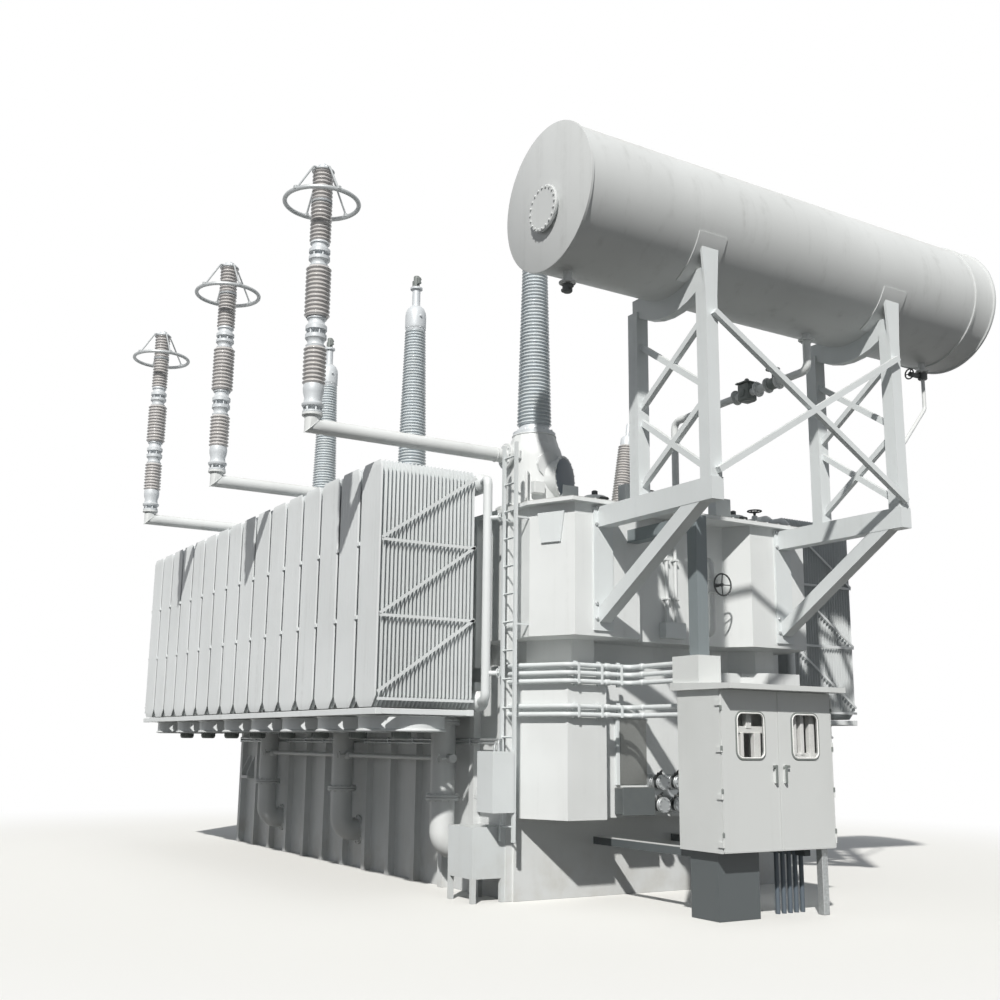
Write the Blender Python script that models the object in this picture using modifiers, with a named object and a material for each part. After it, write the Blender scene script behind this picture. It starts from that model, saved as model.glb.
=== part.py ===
"""A large three-phase power transformer with two radiator banks, a conservator and a control cabinet.

Metres, +Z up. The origin lies on the ground under the middle of the tank. +X points to the end that
carries the conservator and the cabinet, and -Y to the side with the high-voltage bushings.
"""

import math

import bpy
import bmesh
from mathutils import Matrix, Quaternion, Vector

# Fit between two pieces that touch
GAP = 0.0003
OVERLAP = 0.004
CUT = 0.05
EPS_MERGE = 0.00001
SAME_PLANE_ANGLE = math.radians(0.05)

# Tank, from the ground up
TANK_LENGTH = 10.13
TANK_WIDTH = 3.85
BASE_HEIGHT = 0.85
BASE_SETBACK = 0.655
LOWER_HEIGHT = 1.61
TAPER_HEIGHT = 0.30
UPPER_HEIGHT = 1.41
LOWER_INSET = 0.14
COLUMN_WIDTH_UPPER = 0.86
COLUMN_WIDTH_LOWER = 0.50
CORNER_LENGTH = 0.52
CORNER_WIDTH = 0.24
RECESS_DEPTH = 0.28
RECESS_SLOPE = 0.18
COVER_THICKNESS = 0.045
COVER_OVERHANG = 0.09

# Stiffeners on the long walls
RIB_PITCH = 0.70
RIB_COUNT = 13
RIB_WIDTH = 0.10
RIB_DEPTH = 0.09
RIB_TOP_DROP = 0.16

# Radiator banks
RADIATOR_COUNT = 16
RADIATOR_PITCH = 0.56
RADIATOR_WIDTH = 0.52
RADIATOR_HEIGHT = 2.64
RADIATOR_DEPTH = 1.17
RADIATOR_SILL = 1.97
BANK_SETBACK = 0.93
BANK_STANDOFF = 0.43
ELEMENT_COUNT = 5
ELEMENT_THICKNESS = 0.060
HEADER_HEIGHT = 0.10
HEADER_RADIUS = 0.11
HEADER_CLEARANCE = 0.06
STUB_WIDTH = 0.07
TOP_PIPE_RADIUS = 0.09
TOP_PIPE_DROP = 0.62
TOP_PIPE_BEND = 0.11
RISER_RADIUS = 0.05
RISER_BEND = 0.075
RISER_SETBACK = 0.14

# Fans below the banks
DECK_HEIGHT = 0.07
DECK_RAIL_WIDTH = 0.08
FAN_RADIUS = 0.47
FAN_WALL = 0.03
FAN_HEIGHT = 0.17
FAN_SPAN = 2
MOTOR_RADIUS = 0.10
MOTOR_DROP = 0.08
MOTOR_ARM_WIDTH = 0.07
MOTOR_ARM_HEIGHT = 0.04

# Oil pipes under the banks
DOWN_PIPE_RADIUS = 0.14
DOWN_PIPE_HEIGHT = 0.48
DOWN_PIPE_PITCH_RIBS = 4
DOWN_PIPE_COUNT = 3
DOWN_PIPE_BEND = 0.16
PIPE_FLANGE_EXTRA = 0.05
PIPE_FLANGE_THICKNESS = 0.03
DRAIN_PIPE_RADIUS = 0.03
DRAIN_PIPE_HEIGHT = 1.45

# High-voltage side
PHASE_COUNT = 3
PHASE_PITCH = 3.158
HV_SETBACK = 1.05
HV_OFFSET = 1.53
TURRET_RADIUS = 0.29
TURRET_FLANGE_RADIUS = 0.45
TURRET_FLANGE_THICKNESS = 0.05
TURRET_OVER_ARM = 0.28
TURRET_SHOULDER = 0.12
PORT_RADIUS = 0.16
PORT_LENGTH = 0.05
PORT_HEIGHT = 0.52
NOZZLE_RADIUS = 0.10
NOZZLE_LENGTH = 0.08
ARM_HEIGHT = 0.64
ARM_BANK_CLEARANCE = 0.12
ARM_RADIUS = 0.08
ARM_REACH = 2.77
ARM_BEND = 0.12
ARM_RISE = 0.13
ARM_FLANGE_RADIUS = 0.15
ARM_FLANGE_THICKNESS = 0.03

BUSHING_FLANGE_RADIUS = 0.25
BUSHING_FLANGE_HEIGHT = 0.06
BUSHING_SHEDS = 7
BUSHING_BOTTOM_RADIUS = 0.205
BUSHING_TOP_RADIUS = 0.150
BUSHING_SHED_DEPTH = 0.030
BUSHING_INSULATOR_HEIGHT = 2.26
BUSHING_CAP_RADIUS = 0.145
BUSHING_CAP_HEIGHT = 0.50
TERMINAL_RADIUS = 0.045
TERMINAL_HEIGHT = 0.30

ARRESTER_UNITS = 3
ARRESTER_UNIT_HEIGHT = 0.64
ARRESTER_UNIT_SHEDS = 3
ARRESTER_BOTTOM_RADIUS = 0.125
ARRESTER_TOP_RADIUS = 0.105
ARRESTER_SHED_DEPTH = 0.022
ARRESTER_JOINT_HEIGHT = 0.27
ARRESTER_JOINT_RADIUS = 0.085
ARRESTER_CAP_RADIUS = 0.09
ARRESTER_CAP_HEIGHT = 0.10
RING_RADIUS = 0.40
RING_TUBE_RADIUS = 0.025
RING_STAYS = 4
RING_STAY_RADIUS = 0.014
RING_DROP = 0.40
RING_KNEE_SHARE = 0.55

# Low-voltage side
LV_SHIFT = 2.38
LV_OFFSET = 1.50
LV_TURRET_RADIUS = 0.26
LV_TURRET_HEIGHT = 0.62
LV_LEAN_DEGREES = 7.5
LV_FLANGE_RADIUS = 0.22
LV_FLANGE_HEIGHT = 0.05
LV_SHEDS = 3
LV_BOTTOM_RADIUS = 0.155
LV_TOP_RADIUS = 0.125
LV_SHED_DEPTH = 0.025
LV_INSULATOR_HEIGHT = 1.15
LV_CAP_RADIUS = 0.10
LV_CAP_HEIGHT = 0.14
LV_TERMINAL_RADIUS = 0.03
LV_TERMINAL_HEIGHT = 0.22

# Conservator and its trestles
CONSERVATOR_RADIUS = 0.731
CONSERVATOR_LENGTH = 5.83
CONSERVATOR_SHIFT = 0.075
CONSERVATOR_CLEARANCE = 2.005
CONSERVATOR_WALL = 0.012
END_PLATE_THICKNESS = 0.02
END_RIM = 0.02
MANHOLE_RADIUS = 0.235
MANHOLE_THICKNESS = 0.06
MANHOLE_DROP_SHARE = 0.18

TRESTLE_SPACING = 2.65
POST_WIDTH = 0.15
POST_REACH_OUTER = 1.77
POST_REACH_INNER = 0.67
SADDLE_THICKNESS = 0.10
SADDLE_DEPTH = 0.34
SADDLE_BAND = 0.20
HORN_HEIGHT = 0.60
HORN_WIDTH = 0.23
HORN_THICKNESS = 0.03
HORN_DROP = 0.285
BRACE_WIDTH = 0.06
SIDE_PANELS = 2

BRACKET_CHORD_HEIGHT = 0.22
BRACKET_TOP_DROP = 0.03
BRACKET_MARGIN = 0.015
BRACKET_DROP = 1.26
BRACKET_DIAGONAL_WIDTH = 0.15
BRACKET_PLATE_THICKNESS = 0.025
BRACKET_PLATE_EXTRA = 0.05

# Pipe with the gas relay
RELAY_PIPE_RADIUS = 0.045
RELAY_PIPE_SIDE = 0.62
RELAY_PIPE_DROP = 0.42
RELAY_PIPE_RUN = 2.30
RELAY_PIPE_FALL_SHARE = 0.03
RELAY_PIPE_BEND = 0.09
RELAY_FLANGE_RADIUS = 0.09
RELAY_LENGTH = 0.26
RELAY_RADIUS = 0.13
RELAY_PLACE_SHARE = 0.42

# Control cabinet
CABINET_WIDTH = 1.455
CABINET_DEPTH = 0.65
CABINET_HEIGHT = 1.527
CABINET_SILL = 0.631
CABINET_STANDOFF = 0.847
CABINET_SHIFT = -0.305
CABINET_WALL = 0.006
ROOF_OVERHANG = 0.05
ROOF_FRONT_OVERHANG = 0.18
ROOF_THICKNESS = 0.05
ROOF_RISE = 0.03
DOOR_THICKNESS = 0.025
DOOR_GAP = 0.006
WINDOW_WIDTH = 0.36
WINDOW_HEIGHT = 0.44
WINDOW_RADIUS = 0.07
WINDOW_TOP_DROP = 0.21
WINDOW_THICKNESS = 0.006
HINGE_COUNT = 4
HINGE_RADIUS = 0.009
HINGE_LENGTH = 0.10
HINGE_OFFSET = 0.012
HINGE_LEAF = 0.005
HINGE_ARM = 0.05
HANDLE_LENGTH = 0.17
HANDLE_WIDTH = 0.022
HANDLE_DEPTH = 0.03
HANDLE_INSET = 0.06
PANEL_MARGIN = 0.08
PANEL_THICKNESS = 0.012
WIRE_DUCT_COUNT = 4
WIRE_DUCT_WIDTH = 0.07
WIRE_DUCT_DEPTH = 0.08
SUPPORT_WIDTH = 0.08
SUPPORT_INSET = 0.18
CABLE_DUCT_WIDTH = 0.52
CABLE_DUCT_DEPTH = 0.40
CABLE_DUCT_INSET = 0.07

# Wireway from the cabinet to the tank
WIREWAY_WIDTH = 0.14
WIREWAY_SETBACK = 0.22
WIREWAY_MARGIN = 0.02
WIREWAY_INSET = 0.0475
WIREWAY_HEIGHT = 1.72
WIREWAY_BOX_WIDTH = 0.29
WIREWAY_BOX_HEIGHT = 0.26

# Conduits round the near corner of the tank
CONDUIT_RADIUS = 0.026
CONDUIT_PITCH = 0.085
UPPER_CONDUITS = 3
LOWER_CONDUITS = 2
CONDUIT_GROUP_DROP = 0.43
CONDUIT_BEND = 0.10
CONDUIT_STANDOFF = 0.06
CONDUIT_TOP_DROP = 0.02
CLAMP_WIDTH = 0.05

# Ladder on the long wall
LADDER_WIDTH = 0.25
LADDER_SETBACK = 0.535
LADDER_STANDOFF = 0.17
LADDER_FOOT = 0.62
LADDER_RAIL = 0.035
RUNG_RADIUS = 0.012
RUNG_PITCH = 0.305
RUNG_COUNT = 14
LADDER_TIE_WIDTH = 0.02
LADDER_TIE_MARGIN = 0.12

# Boxes by the ladder, plate and valves on the end wall
SIDE_BOX_WIDTH = 0.32
SIDE_BOX_HEIGHT = 0.62
SIDE_BOX_DEPTH = 0.26
SIDE_BOX_SILL = 0.92
FLOOR_BOX_WIDTH = 0.52
FLOOR_BOX_DEPTH = 0.40
FLOOR_BOX_HEIGHT = 0.52
FLOOR_BOX_LEG = 0.24
FLOOR_BOX_LEG_WIDTH = 0.05
FLOOR_BOX_MARGIN = 0.02
NAMEPLATE_WIDTH = 0.36
NAMEPLATE_HEIGHT = 0.70
NAMEPLATE_THICKNESS = 0.012
NAMEPLATE_SILL = 1.20
NAMEPLATE_SIDE = 0.62
VALVE_PITCH = 0.24
VALVE_RADIUS = 0.085
VALVE_LENGTH = 0.16
VALVE_NECK_RADIUS = 0.05
VALVE_PLATE_THICKNESS = 0.02
VALVE_SILL = 0.98
VALVE_SIDE = 0.22
VALVE_ROWS = 2
VALVE_FLANGE_THICKNESS = 0.053

# Sides of the round pieces, and the angle above which an edge stays sharp
CONSERVATOR_SIDES = 36
FINE_SIDES = 24
ROUND_SIDES = 16
SMALL_SIDES = 12
PIPE_SIDES = 8
FAN_SIDES = 8
ARRESTER_SIDES = 8
SHED_SIDES = 10
RING_SECTION_SIDES = 4
HINGE_SIDES = 6
RUNG_SIDES = 4
BEND_STEPS = 3
CORNER_STEPS = 3
SHARP_ANGLE = math.radians(40.0)


# Levels and faces that several pieces share
base_top = BASE_HEIGHT
lower_bottom = base_top + GAP
lower_top = lower_bottom + LOWER_HEIGHT
upper_bottom = lower_top + GAP
upper_top = upper_bottom + TAPER_HEIGHT + UPPER_HEIGHT
cover_bottom = upper_top + GAP
cover_top = cover_bottom + COVER_THICKNESS
near_end = TANK_LENGTH / 2
wall_y = TANK_WIDTH / 2
lower_end = near_end - LOWER_INSET
base_end = lower_end - BASE_SETBACK
bank_near = near_end - BANK_SETBACK
bank_far = bank_near - RADIATOR_COUNT * RADIATOR_PITCH
radiator_places = [bank_near - (n + 1 / 2) * RADIATOR_PITCH for n in range(RADIATOR_COUNT)]
bank_inner = wall_y + BANK_STANDOFF
bank_outer = bank_inner + RADIATOR_DEPTH
bank_top = RADIATOR_SILL + RADIATOR_HEIGHT
header_y = bank_inner - HEADER_RADIUS - HEADER_CLEARANCE
top_header_z = bank_top - HEADER_HEIGHT
bottom_header_z = RADIATOR_SILL + HEADER_HEIGHT
phase_places = [near_end - HV_SETBACK - n * PHASE_PITCH for n in range(PHASE_COUNT)]
lv_places = [x - LV_SHIFT for x in phase_places]
# The arm leaves its turret at a set height, and a bank too tall for that raises arm and turret
arm_z = max(cover_top + GAP + ARM_HEIGHT, bank_top + ARM_BANK_CLEARANCE + ARM_RADIUS)
turret_top = arm_z + TURRET_OVER_ARM
conservator_x = near_end + (POST_REACH_OUTER + POST_REACH_INNER) / 2
bracket_top = cover_bottom - BRACKET_TOP_DROP
conservator_z = bracket_top + CONSERVATOR_CLEARANCE + CONSERVATOR_RADIUS
cabinet_back = near_end + CABINET_STANDOFF
cabinet_front = cabinet_back + CABINET_DEPTH
cabinet_low_y = CABINET_SHIFT - CABINET_WIDTH / 2
cabinet_high_y = CABINET_SHIFT + CABINET_WIDTH / 2
cabinet_top = CABINET_SILL + CABINET_HEIGHT
cabinet_middle = (cabinet_low_y + cabinet_high_y) / 2
door_back = cabinet_front - DOOR_THICKNESS
door_low = CABINET_SILL + DOOR_GAP
door_high = cabinet_top - DOOR_GAP
hinge_span = door_high - door_low - 2 * HINGE_LENGTH
hinge_levels = [
    door_low + HINGE_LENGTH / 2 + hinge_span * n / (HINGE_COUNT - 1) for n in range(HINGE_COUNT)
]
wireway_back = cabinet_back - ROOF_OVERHANG + WIREWAY_MARGIN
rib_places = [(n - (RIB_COUNT - 1) / 2) * RIB_PITCH for n in range(RIB_COUNT)]
# A header is an octagon that stands on a flat, so its flats are nearer than its corners
header_flat = HEADER_RADIUS * math.cos(math.pi / PIPE_SIDES)
down_pipe_places = [
    RIB_PITCH / 2 + (n - (DOWN_PIPE_COUNT - 1) / 2) * DOWN_PIPE_PITCH_RIBS * RIB_PITCH
    for n in range(DOWN_PIPE_COUNT)
]


for old in list(bpy.data.objects):
    bpy.data.objects.remove(old, do_unlink=True)

parts = bpy.data.collections.new("power_transformer")
cutters = bpy.data.collections.new("cutters")
for collection in (parts, cutters):
    bpy.context.scene.collection.children.link(collection)


# Materials

def finish(name, colour, roughness, metallic=0.0, alpha=1.0):
    """A Principled material of one colour."""
    material = bpy.data.materials.new(name)
    material.use_nodes = True
    shader = material.node_tree.nodes["Principled BSDF"]
    shader.inputs["Base Color"].default_value = (*colour, 1.0)
    shader.inputs["Roughness"].default_value = roughness
    shader.inputs["Metallic"].default_value = metallic
    shader.inputs["Alpha"].default_value = alpha
    return material


tank_paint = finish("tank_paint", (0.60, 0.62, 0.59), 0.45)
radiator_paint = finish("radiator_paint", (0.55, 0.58, 0.54), 0.42)
frame_paint = finish("frame_paint", (0.58, 0.60, 0.58), 0.45)
porcelain = finish("porcelain", (0.36, 0.38, 0.38), 0.22)
arrester_porcelain = finish("arrester_porcelain", (0.30, 0.27, 0.24), 0.25)
galvanised = finish("galvanised", (0.55, 0.56, 0.57), 0.38, 0.8)
cabinet_paint = finish("cabinet_paint", (0.62, 0.63, 0.62), 0.42)
pane_glass = finish("pane_glass", (0.70, 0.76, 0.80), 0.05, 0.0, 0.35)
duct_plastic = finish("duct_plastic", (0.78, 0.78, 0.75), 0.50)
plate_steel = finish("plate_steel", (0.40, 0.40, 0.40), 0.35, 0.7)


# Turns that stand a flat outline up: its normal along X, with its own X along Y, or its normal along Y
FACING_X = Matrix(((0, 0, 1), (1, 0, 0), (0, 1, 0))).to_4x4()
FACING_Y = Matrix(((1, 0, 0), (0, 0, -1), (0, 1, 0))).to_4x4()


# Shapes: each is a closed mesh that a node is joined from

def mesh_object(name, mesh, collection):
    thing = bpy.data.objects.new(name, mesh)
    collection.objects.link(thing)
    return thing


def shape_from(bm, flatten=False):
    """A loose shape from a bmesh, its faces pointing out; flatten joins the faces that share a plane."""
    bmesh.ops.remove_doubles(bm, verts=bm.verts, dist=EPS_MERGE)
    if flatten:
        bmesh.ops.dissolve_limit(bm, angle_limit=SAME_PLANE_ANGLE, verts=bm.verts, edges=bm.edges)
    bmesh.ops.recalc_face_normals(bm, faces=bm.faces)
    mesh = bpy.data.meshes.new("shape")
    bm.to_mesh(mesh)
    bm.free()
    return mesh_object("shape", mesh, cutters)


def box(low, high):
    """A box between two corners."""
    low, high = Vector(low), Vector(high)
    bm = bmesh.new()
    size = Matrix.Diagonal(high - low).to_4x4()
    bmesh.ops.create_cube(bm, size=1.0, matrix=Matrix.Translation((low + high) / 2) @ size)
    return shape_from(bm)


def toward(direction):
    """The turn that takes +Z to a direction."""
    return Vector(direction).to_track_quat("Z", "Y").to_matrix().to_4x4()


def bar(start, end, width, depth):
    """A straight bar of rectangular section, its depth measured in the plane through +Z."""
    start, end = Vector(start), Vector(end)
    along = (end - start).normalized()
    side = along.cross(Vector((0, 0, 1)))
    if side.length < EPS_MERGE:
        side = Vector((0, 1, 0))
    side.normalize()
    up = side.cross(along)
    turn = Matrix((side, up, along)).transposed().to_4x4()
    size = Matrix.Diagonal((width, depth, (end - start).length)).to_4x4()
    bm = bmesh.new()
    bmesh.ops.create_cube(bm, size=1.0, matrix=Matrix.Translation((start + end) / 2) @ turn @ size)
    return shape_from(bm)


def rod(start, end, radius, sides=PIPE_SIDES, turn=0.0):
    """A straight round bar, turned about its own axis."""
    start, end = Vector(start), Vector(end)
    place = Matrix.Translation((start + end) / 2) @ toward(end - start) @ Matrix.Rotation(turn, 4, "Z")
    bm = bmesh.new()
    bmesh.ops.create_cone(
        bm,
        cap_ends=True,
        segments=sides,
        radius1=radius,
        radius2=radius,
        depth=(end - start).length,
        matrix=place,
    )
    return shape_from(bm)


def stack(rings):
    """A solid through closed outlines of as many points each, from the lowest to the highest."""
    bm = bmesh.new()
    loops = [[bm.verts.new((x, y, z)) for x, y in outline] for outline, z in rings]
    for lower, upper in zip(loops, loops[1:]):
        for n in range(len(lower)):
            m = (n + 1) % len(lower)
            bm.faces.new((lower[n], lower[m], upper[m], upper[n]))
    bm.faces.new(list(reversed(loops[0])))
    bm.faces.new(loops[-1])
    return shape_from(bm)


def as_mesh(thing, flatten=False):
    """The evaluated shape of an object, welded, in place of the object."""
    bpy.context.view_layer.update()
    graph = bpy.context.evaluated_depsgraph_get()
    mesh = bpy.data.meshes.new_from_object(thing.evaluated_get(graph))
    mesh.transform(thing.matrix_world)
    bpy.data.objects.remove(thing, do_unlink=True)
    bm = bmesh.new()
    bm.from_mesh(mesh)
    bpy.data.meshes.remove(mesh)
    return shape_from(bm, flatten)


def screwed(points, edges, sides, place):
    """A profile in the XZ plane turned about its own Z axis."""
    mesh = bpy.data.meshes.new("profile")
    mesh.from_pydata([(r, 0.0, z) for r, z in points], edges, [])
    thing = mesh_object("profile", mesh, cutters)
    screw = thing.modifiers.new("turn", "SCREW")
    screw.axis = "Z"
    screw.steps = screw.render_steps = sides
    screw.use_merge_vertices = True
    screw.merge_threshold = EPS_MERGE
    thing.matrix_world = place
    return as_mesh(thing)


def turned(profile, sides, place):
    """A solid of revolution from (radius, height) points that run from the top to the bottom."""
    points = [(0.0, profile[0][1]), *profile, (0.0, profile[-1][1])]
    return screwed(points, [(n, n + 1) for n in range(len(points) - 1)], sides, place)


def turned_ring(section, sides, place):
    """A ring from the closed (radius, height) outline of its section."""
    count = len(section)
    return screwed(section, [(n, (n + 1) % count) for n in range(count)], sides, place)


def flat(outlines, thickness, place):
    """A plate: the first outline is its edge and the others are holes, drawn in the plate's own XY plane."""
    curve = bpy.data.curves.new("outline", "CURVE")
    curve.dimensions = "2D"
    curve.fill_mode = "BOTH"
    curve.extrude = thickness / 2
    for outline in outlines:
        spline = curve.splines.new("POLY")
        spline.points.add(len(outline) - 1)
        for point, (x, y) in zip(spline.points, outline):
            point.co = (x, y, 0.0, 1.0)
        spline.use_cyclic_u = True
    thing = bpy.data.objects.new("outline", curve)
    cutters.objects.link(thing)
    thing.matrix_world = place
    return as_mesh(thing)


def tube(points, radius, resolution=2):
    """A round tube along straight runs; its section has 4 + 2 x resolution sides."""
    curve = bpy.data.curves.new("run", "CURVE")
    curve.dimensions = "3D"
    curve.bevel_depth = radius
    curve.bevel_resolution = resolution
    curve.use_fill_caps = True
    spline = curve.splines.new("POLY")
    spline.points.add(len(points) - 1)
    for point, place in zip(spline.points, points):
        point.co = (*place, 1.0)
    thing = bpy.data.objects.new("run", curve)
    cutters.objects.link(thing)
    return as_mesh(thing)


def rounded(points, radius, steps=BEND_STEPS):
    """A route with each inner corner replaced by an arc."""
    route = [Vector(points[0])]
    for before, corner, after in zip(points, points[1:], points[2:]):
        corner = Vector(corner)
        back = (Vector(before) - corner).normalized()
        ahead = (Vector(after) - corner).normalized()
        half = back.angle(ahead) / 2
        reach = radius / math.tan(half)
        centre = corner + (back + ahead).normalized() * (radius / math.sin(half))
        first = corner + back * reach - centre
        last = corner + ahead * reach - centre
        turn = first.angle(last)
        axis = first.cross(last)
        for n in range(steps + 1):
            route.append(centre + Quaternion(axis, turn * n / steps) @ first)
    route.append(Vector(points[-1]))
    return route


def boolean(target, others, operation):
    """Applies one exact Boolean of several loose shapes to the target, and removes them."""
    group = bpy.data.collections.new("operands")
    bpy.context.scene.collection.children.link(group)
    for other in others:
        group.objects.link(other)
    modifier = target.modifiers.new("join", "BOOLEAN")
    modifier.operation = operation
    modifier.operand_type = "COLLECTION"
    modifier.collection = group
    modifier.solver = "EXACT"
    result = as_mesh(target, flatten=True)
    for other in others:
        bpy.data.objects.remove(other, do_unlink=True)
    bpy.data.collections.remove(group)
    return result


def joined(shapes):
    """Shapes that overlap made one."""
    return boolean(shapes[0], shapes[1:], "UNION") if len(shapes) > 1 else shapes[0]


def cut(target, holes):
    """The target with holes taken out of it."""
    return boolean(target, holes, "DIFFERENCE")


def node(name, material, shapes, smooth=False, pivot=(0.0, 0.0, 0.0)):
    """One named sub-part, with its origin at the pivot."""
    thing = joined(shapes)
    thing.name = name
    thing.data.name = name
    cutters.objects.unlink(thing)
    parts.objects.link(thing)
    thing.data.materials.append(material)
    thing.data.transform(Matrix.Translation(-Vector(pivot)))
    thing.location = pivot
    if smooth:
        thing.data.shade_smooth()
        thing.data.set_sharp_from_angle(angle=SHARP_ANGLE)
    return thing


# Tank

def mirrored_outline(quarter):
    """A closed plan outline from the points of its +X, -Y quarter, listed from the long wall to the end."""
    right = quarter + [(x, -y) for x, y in reversed(quarter)]
    return right + [(-x, -y) for x, y in right]


def tank_outline(end, column_width):
    """The plan of the tank: two flat columns stand out of each end wall, with sloped corners."""
    column_start = wall_y - CORNER_WIDTH
    column_end = column_start - column_width
    return mirrored_outline([
        (end - CORNER_LENGTH, -wall_y),
        (end, -column_start),
        (end, -column_end),
        (end - RECESS_DEPTH, -column_end + RECESS_SLOPE),
    ])


def ribs(low, high):
    """Upright stiffeners on both long walls."""
    shapes = []
    for x in rib_places:
        for y in (-wall_y, wall_y):
            near, far = (x - RIB_WIDTH / 2, y - RIB_DEPTH, low), (x + RIB_WIDTH / 2, y + RIB_DEPTH, high)
            shapes.append(box(near, far))
    return shapes


def base_section():
    body = box((-base_end, -wall_y, 0.0), (base_end, wall_y, base_top))
    return node("base_section", tank_paint, [body, *ribs(0.0, base_top)])


def lower_tank():
    outline = tank_outline(lower_end, COLUMN_WIDTH_LOWER)
    body = stack([(outline, lower_bottom), (outline, lower_top)])
    return node("lower_tank", tank_paint, [body, *ribs(lower_bottom, lower_top - RIB_TOP_DROP)])


def upper_tank():
    low_outline = tank_outline(lower_end, COLUMN_WIDTH_LOWER)
    outline = tank_outline(near_end, COLUMN_WIDTH_UPPER)
    taper_top = upper_bottom + TAPER_HEIGHT
    body = stack([(low_outline, upper_bottom), (outline, taper_top), (outline, upper_top)])
    return node("upper_tank", tank_paint, [body])


def tank_cover():
    reach = near_end + COVER_OVERHANG
    side = wall_y + COVER_OVERHANG
    outline = mirrored_outline([(reach - CORNER_LENGTH, -side), (reach, -side + CORNER_WIDTH)])
    return node("tank_cover", tank_paint, [stack([(outline, cover_bottom), (outline, cover_top)])])


# Radiator banks: side is -1 for the bank on the high-voltage side and 1 for the other

def radiator(x, side):
    """One radiator: upright oil plates between a top and a bottom header."""
    slots = ELEMENT_COUNT - 1
    slot = (RADIATOR_DEPTH - ELEMENT_COUNT * ELEMENT_THICKNESS) / slots
    edge = [(0.0, 0.0), (RADIATOR_DEPTH, 0.0), (RADIATOR_DEPTH, RADIATOR_HEIGHT), (0.0, RADIATOR_HEIGHT)]
    holes = []
    for n in range(slots):
        start = ELEMENT_THICKNESS + n * (ELEMENT_THICKNESS + slot)
        end = start + slot
        low, high = HEADER_HEIGHT, RADIATOR_HEIGHT - HEADER_HEIGHT
        holes.append([(start, low), (end, low), (end, high), (start, high)])
    start_y = bank_inner if side > 0 else -bank_outer
    place = Matrix.Translation((x, start_y, RADIATOR_SILL)) @ FACING_X
    return flat([edge, *holes], RADIATOR_WIDTH, place)


def radiator_bank(name, side):
    """A bank hangs on its top header, which is piped into the tank's upper wall."""
    shapes = [radiator(x, side) for x in radiator_places]
    y = side * header_y
    half = STUB_WIDTH / 2
    inner_y, outer_y = sorted((y + side * HEADER_RADIUS / 2, side * (bank_inner + ELEMENT_THICKNESS / 2)))
    for z in (top_header_z, bottom_header_z):
        shapes.append(rod((bank_far, y, z), (bank_near, y, z), HEADER_RADIUS, turn=math.pi / PIPE_SIDES))
        for x in radiator_places:
            shapes.append(box((x - half, inner_y, z - half), (x + half, outer_y, z + half)))
    low = top_header_z - TOP_PIPE_DROP
    wall = side * (wall_y + GAP)
    for x in down_pipe_places:
        route = rounded([(x, y, top_header_z), (x, y, low), (x, wall, low)], TOP_PIPE_BEND)
        shapes.append(tube(route, TOP_PIPE_RADIUS))
        flange_end = wall + side * PIPE_FLANGE_THICKNESS
        shapes.append(rod((x, wall, low), (x, flange_end, low), TOP_PIPE_RADIUS + PIPE_FLANGE_EXTRA))
    riser_x = bank_near + RISER_SETBACK
    route = rounded(
        [
            (bank_near - RISER_SETBACK, y, top_header_z),
            (riser_x, y, top_header_z),
            (riser_x, y, bottom_header_z),
            (bank_near - RISER_SETBACK, y, bottom_header_z),
        ],
        RISER_BEND,
    )
    shapes.append(tube(route, RISER_RADIUS))
    return node(name, radiator_paint, shapes)


def fan_deck(name, side):
    """The frame below a bank, with its fans hung in it."""
    top = RADIATOR_SILL - GAP
    low = top - DECK_HEIGHT
    y0, y1 = sorted((side * bank_inner, side * bank_outer))
    half = DECK_RAIL_WIDTH / 2
    shapes = [
        box((bank_far, y0, low), (bank_near, y0 + DECK_RAIL_WIDTH, top)),
        box((bank_far, y1 - DECK_RAIL_WIDTH, low), (bank_near, y1, top)),
    ]
    fan_pitch = FAN_SPAN * RADIATOR_PITCH
    fans = RADIATOR_COUNT // FAN_SPAN
    for n in range(fans + 1):
        x = min(max(bank_near - n * fan_pitch, bank_far + half), bank_near - half)
        shapes.append(box((x - half, y0, low), (x + half, y1, top)))
    for n in range(fans):
        shapes.extend(fan(bank_near - (n + 1 / 2) * fan_pitch, (y0 + y1) / 2, low, y1 - y0))
    return node(name, radiator_paint, shapes)


def fan(x, y, level, span):
    """A shroud ring and a motor, both hung from one cross arm between the deck's side rails."""
    low = level - FAN_HEIGHT
    profile = [
        (FAN_RADIUS, level + OVERLAP),
        (FAN_RADIUS, low),
        (FAN_RADIUS - FAN_WALL, low),
        (FAN_RADIUS - FAN_WALL, level + OVERLAP),
    ]
    ring = turned_ring(profile, FAN_SIDES, Matrix.Translation((x, y, 0.0)))
    arm = box(
        (x - MOTOR_ARM_WIDTH / 2, y - (span - DECK_RAIL_WIDTH) / 2, level + OVERLAP / 2),
        (x + MOTOR_ARM_WIDTH / 2, y + (span - DECK_RAIL_WIDTH) / 2, level + MOTOR_ARM_HEIGHT),
    )
    motor = rod((x, y, low - MOTOR_DROP), (x, y, level + MOTOR_ARM_HEIGHT / 2), MOTOR_RADIUS)
    return [ring, arm, motor]


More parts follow.
